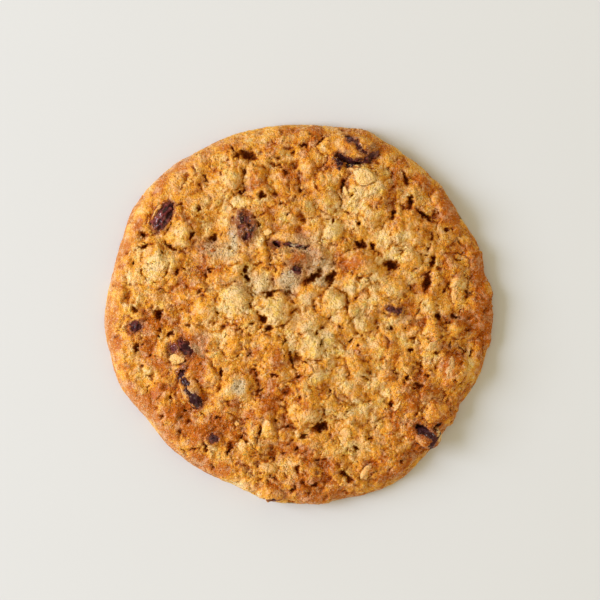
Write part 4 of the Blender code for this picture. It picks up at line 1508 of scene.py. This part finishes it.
def flake_shape(seed):
    """A rolled oat: a thin, curled oval with a crease along it and a ragged edge."""
    bm = bmesh.new()
    bmesh.ops.create_uvsphere(bm, u_segments=18, v_segments=8, radius=1)
    for vert in bm.verts:
        x, y, z = vert.co
        at = Vector((x, y, seed * 3.7))
        ragged = 1 + 0.40 * noise.noise(at * 1.3) + 0.35 * noise.noise(at * 2.9)
        curl = 0.25 * noise.noise(Vector((x * 1.1, y * 1.1, seed * 1.3))) + 0.14 * noise.noise(at * 4.3)
        curl -= 0.26 * (x * x + y * y)
        crease = 0.10 * math.exp(-((y / 0.14) ** 2)) * max(0.0, z)
        across, along = FLAKE_WIDTH / 2 * y * ragged, FLAKE_LENGTH / 2 * x * ragged
        vert.co = (along * MM, across * MM, (0.30 * z + curl - crease) * MM)
    return mesh_of("flake shape", bm)


class COOKIE_OT_oats(bpy.types.Operator):
    """Beds rolled oats in the crust"""

    bl_idname = "cookie.oats"
    bl_label = "Oat Flakes"

    def execute(self, context):
        rng = random.Random(17)
        shapes = [flake_shape(seed) for seed in range(8)]

        def choose(lattice, at):
            if lattice.rough[at] < 0.45 or lattice.hollow_shade[at] > 0.4:
                return None
            if not free_of_raisins(lattice.place[at], 1.6):
                return None
            size = rng.uniform(0.55, 1.0)
            values = {
                "browning": lattice.browning[at] + rng.uniform(-0.18, 0.10),
                "smooth": 0.45,
                "oat": rng.uniform(0.4, 0.8) if rng.random() < 0.14 else rng.uniform(0.0, 0.2),
            }
            return (size, size * rng.uniform(0.8, 1.0), size), rng.uniform(0.1, 0.35), 24, values

        placements = strewn(context.scene.cookie_sizes.flake_count, rng, FLAKES_WAY, shapes, choose)
        lattice = crust_lattice()
        for x, y, length, width, turn, pale in BARE_OATS:
            at = lattice_index(x, y)
            up = lattice.facing[at[0] - 4 : at[0] + 5, at[1] - 4 : at[1] + 5].mean((0, 1))
            tilt = Vector((0, 0, 1)).rotation_difference(Vector(up)).to_matrix().to_4x4()
            place = Matrix.Translation(Vector(lattice.place[at] - 0.055 * length * up) * MM)
            spin = Matrix.Rotation(math.radians(turn), 4, "Z")
            size = Matrix.Diagonal((length / FLAKE_LENGTH, width / FLAKE_WIDTH, 0.8, 1))
            values = {"browning": lattice.browning[at] - 0.05, "smooth": 0.9, "oat": pale * pale}
            placements.append((rng.randrange(len(shapes)), place @ tilt @ spin @ size, values))
        placed_copies("oat_flakes", shapes, placements, finishes().dough)
        return {"FINISHED"}


# --------------------------------------------------------------------------------------------------
# Stage.

VIEW_WIDTH = 141.6 * MM
VIEW_MIDDLE = Vector((0.47, 3.42, 0)) * MM
CAMERA_HEIGHT = 0.8
SENSOR_WIDTH = 36.0
FLOOR_HALF = 3.0
FLOOR_DROP = 0.05

# The soft light of a large window, and the fainter warm light of the room.
WINDOW_BEARING = math.radians(176)
WINDOW_ELEVATION = math.radians(34)
WINDOW_DISTANCE = 1.6
WINDOW_WIDTH = 1.0
WINDOW_POWER = 28.4
WINDOW_COLOUR = (0.93, 0.985, 1.15)
ROOM_COLOUR = (1.0, 0.88, 0.58, 1.0)
ROOM_STRENGTH = 0.74


class COOKIE_OT_stage(bpy.types.Operator):
    """Sets the pale floor, the soft light and the camera above the cookie"""

    bl_idname = "cookie.stage"
    bl_label = "Floor, Light and Camera"

    def execute(self, context):
        scene = context.scene
        bm = bmesh.new()
        bmesh.ops.create_grid(bm, x_segments=1, y_segments=1, size=FLOOR_HALF)
        mesh = mesh_of("floor", bm)
        mesh.transform(Matrix.Translation((0, 0, -FLOOR_DROP * MM)))
        mesh.materials.append(floor_finish(scene.cookie_colours))
        floor = bpy.data.objects.new("floor", mesh)
        scene.collection.objects.link(floor)

        lamp = bpy.data.lights.new("window", "AREA")
        lamp.shape = "SQUARE"
        lamp.size = WINDOW_WIDTH
        lamp.energy = WINDOW_POWER
        lamp.color = WINDOW_COLOUR
        window = bpy.data.objects.new("window", lamp)
        level = math.cos(WINDOW_ELEVATION)
        sideways = (math.cos(WINDOW_BEARING) * level, math.sin(WINDOW_BEARING) * level)
        towards = Vector((*sideways, math.sin(WINDOW_ELEVATION)))
        window.location = towards * WINDOW_DISTANCE
        window.rotation_euler = towards.to_track_quat("Z", "Y").to_euler()
        scene.collection.objects.link(window)

        world = bpy.data.worlds.new("studio")
        world.use_nodes = True
        world.node_tree.nodes["Background"].inputs["Color"].default_value = ROOM_COLOUR
        world.node_tree.nodes["Background"].inputs["Strength"].default_value = ROOM_STRENGTH
        scene.world = world
        scene.view_settings.view_transform = "Standard"

        lens = bpy.data.cameras.new("camera")
        lens.sensor_width = SENSOR_WIDTH
        lens.lens = SENSOR_WIDTH * (CAMERA_HEIGHT - FOOT_HEIGHT * MM) / VIEW_WIDTH
        camera = bpy.data.objects.new("camera", lens)
        camera.location = VIEW_MIDDLE + Vector((0, 0, CAMERA_HEIGHT))
        scene.collection.objects.link(camera)
        scene.camera = camera
        return {"FINISHED"}


class COOKIE_PT_panel(bpy.types.Panel):
    """The cookie's pieces, sizes and colours"""

    bl_idname = "COOKIE_PT_panel"
    bl_label = "Oatmeal Raisin Cookie"
    bl_space_type = "VIEW_3D"
    bl_region_type = "UI"
    bl_category = "Cookie"

    def draw(self, context):
        for maker in MAKERS:
            self.layout.operator(maker.bl_idname)
        for group in (context.scene.cookie_sizes, context.scene.cookie_colours):
            for name in group.__annotations__:
                self.layout.prop(group, name)


MAKERS = (
    COOKIE_OT_stage,
    COOKIE_OT_crust,
    COOKIE_OT_underside,
    COOKIE_OT_raisins,
    COOKIE_OT_oats,
    COOKIE_OT_crumbs,
)
CLASSES = (CookieSizes, CookieColours, *MAKERS, COOKIE_PT_panel)


def register():
    for item in CLASSES:
        bpy.utils.register_class(item)
    bpy.types.Scene.cookie_sizes = bpy.props.PointerProperty(type=CookieSizes)
    bpy.types.Scene.cookie_colours = bpy.props.PointerProperty(type=CookieColours)


def unregister():
    del bpy.types.Scene.cookie_colours
    del bpy.types.Scene.cookie_sizes
    for item in reversed(CLASSES):
        bpy.utils.unregister_class(item)


def main():
    register()
    bpy.ops.cookie.stage()
    bpy.ops.cookie.crust()
    bpy.ops.cookie.underside()
    bpy.ops.cookie.raisins()
    bpy.ops.cookie.oats()
    bpy.ops.cookie.crumbs()


if __name__ == "__main__":
    main()
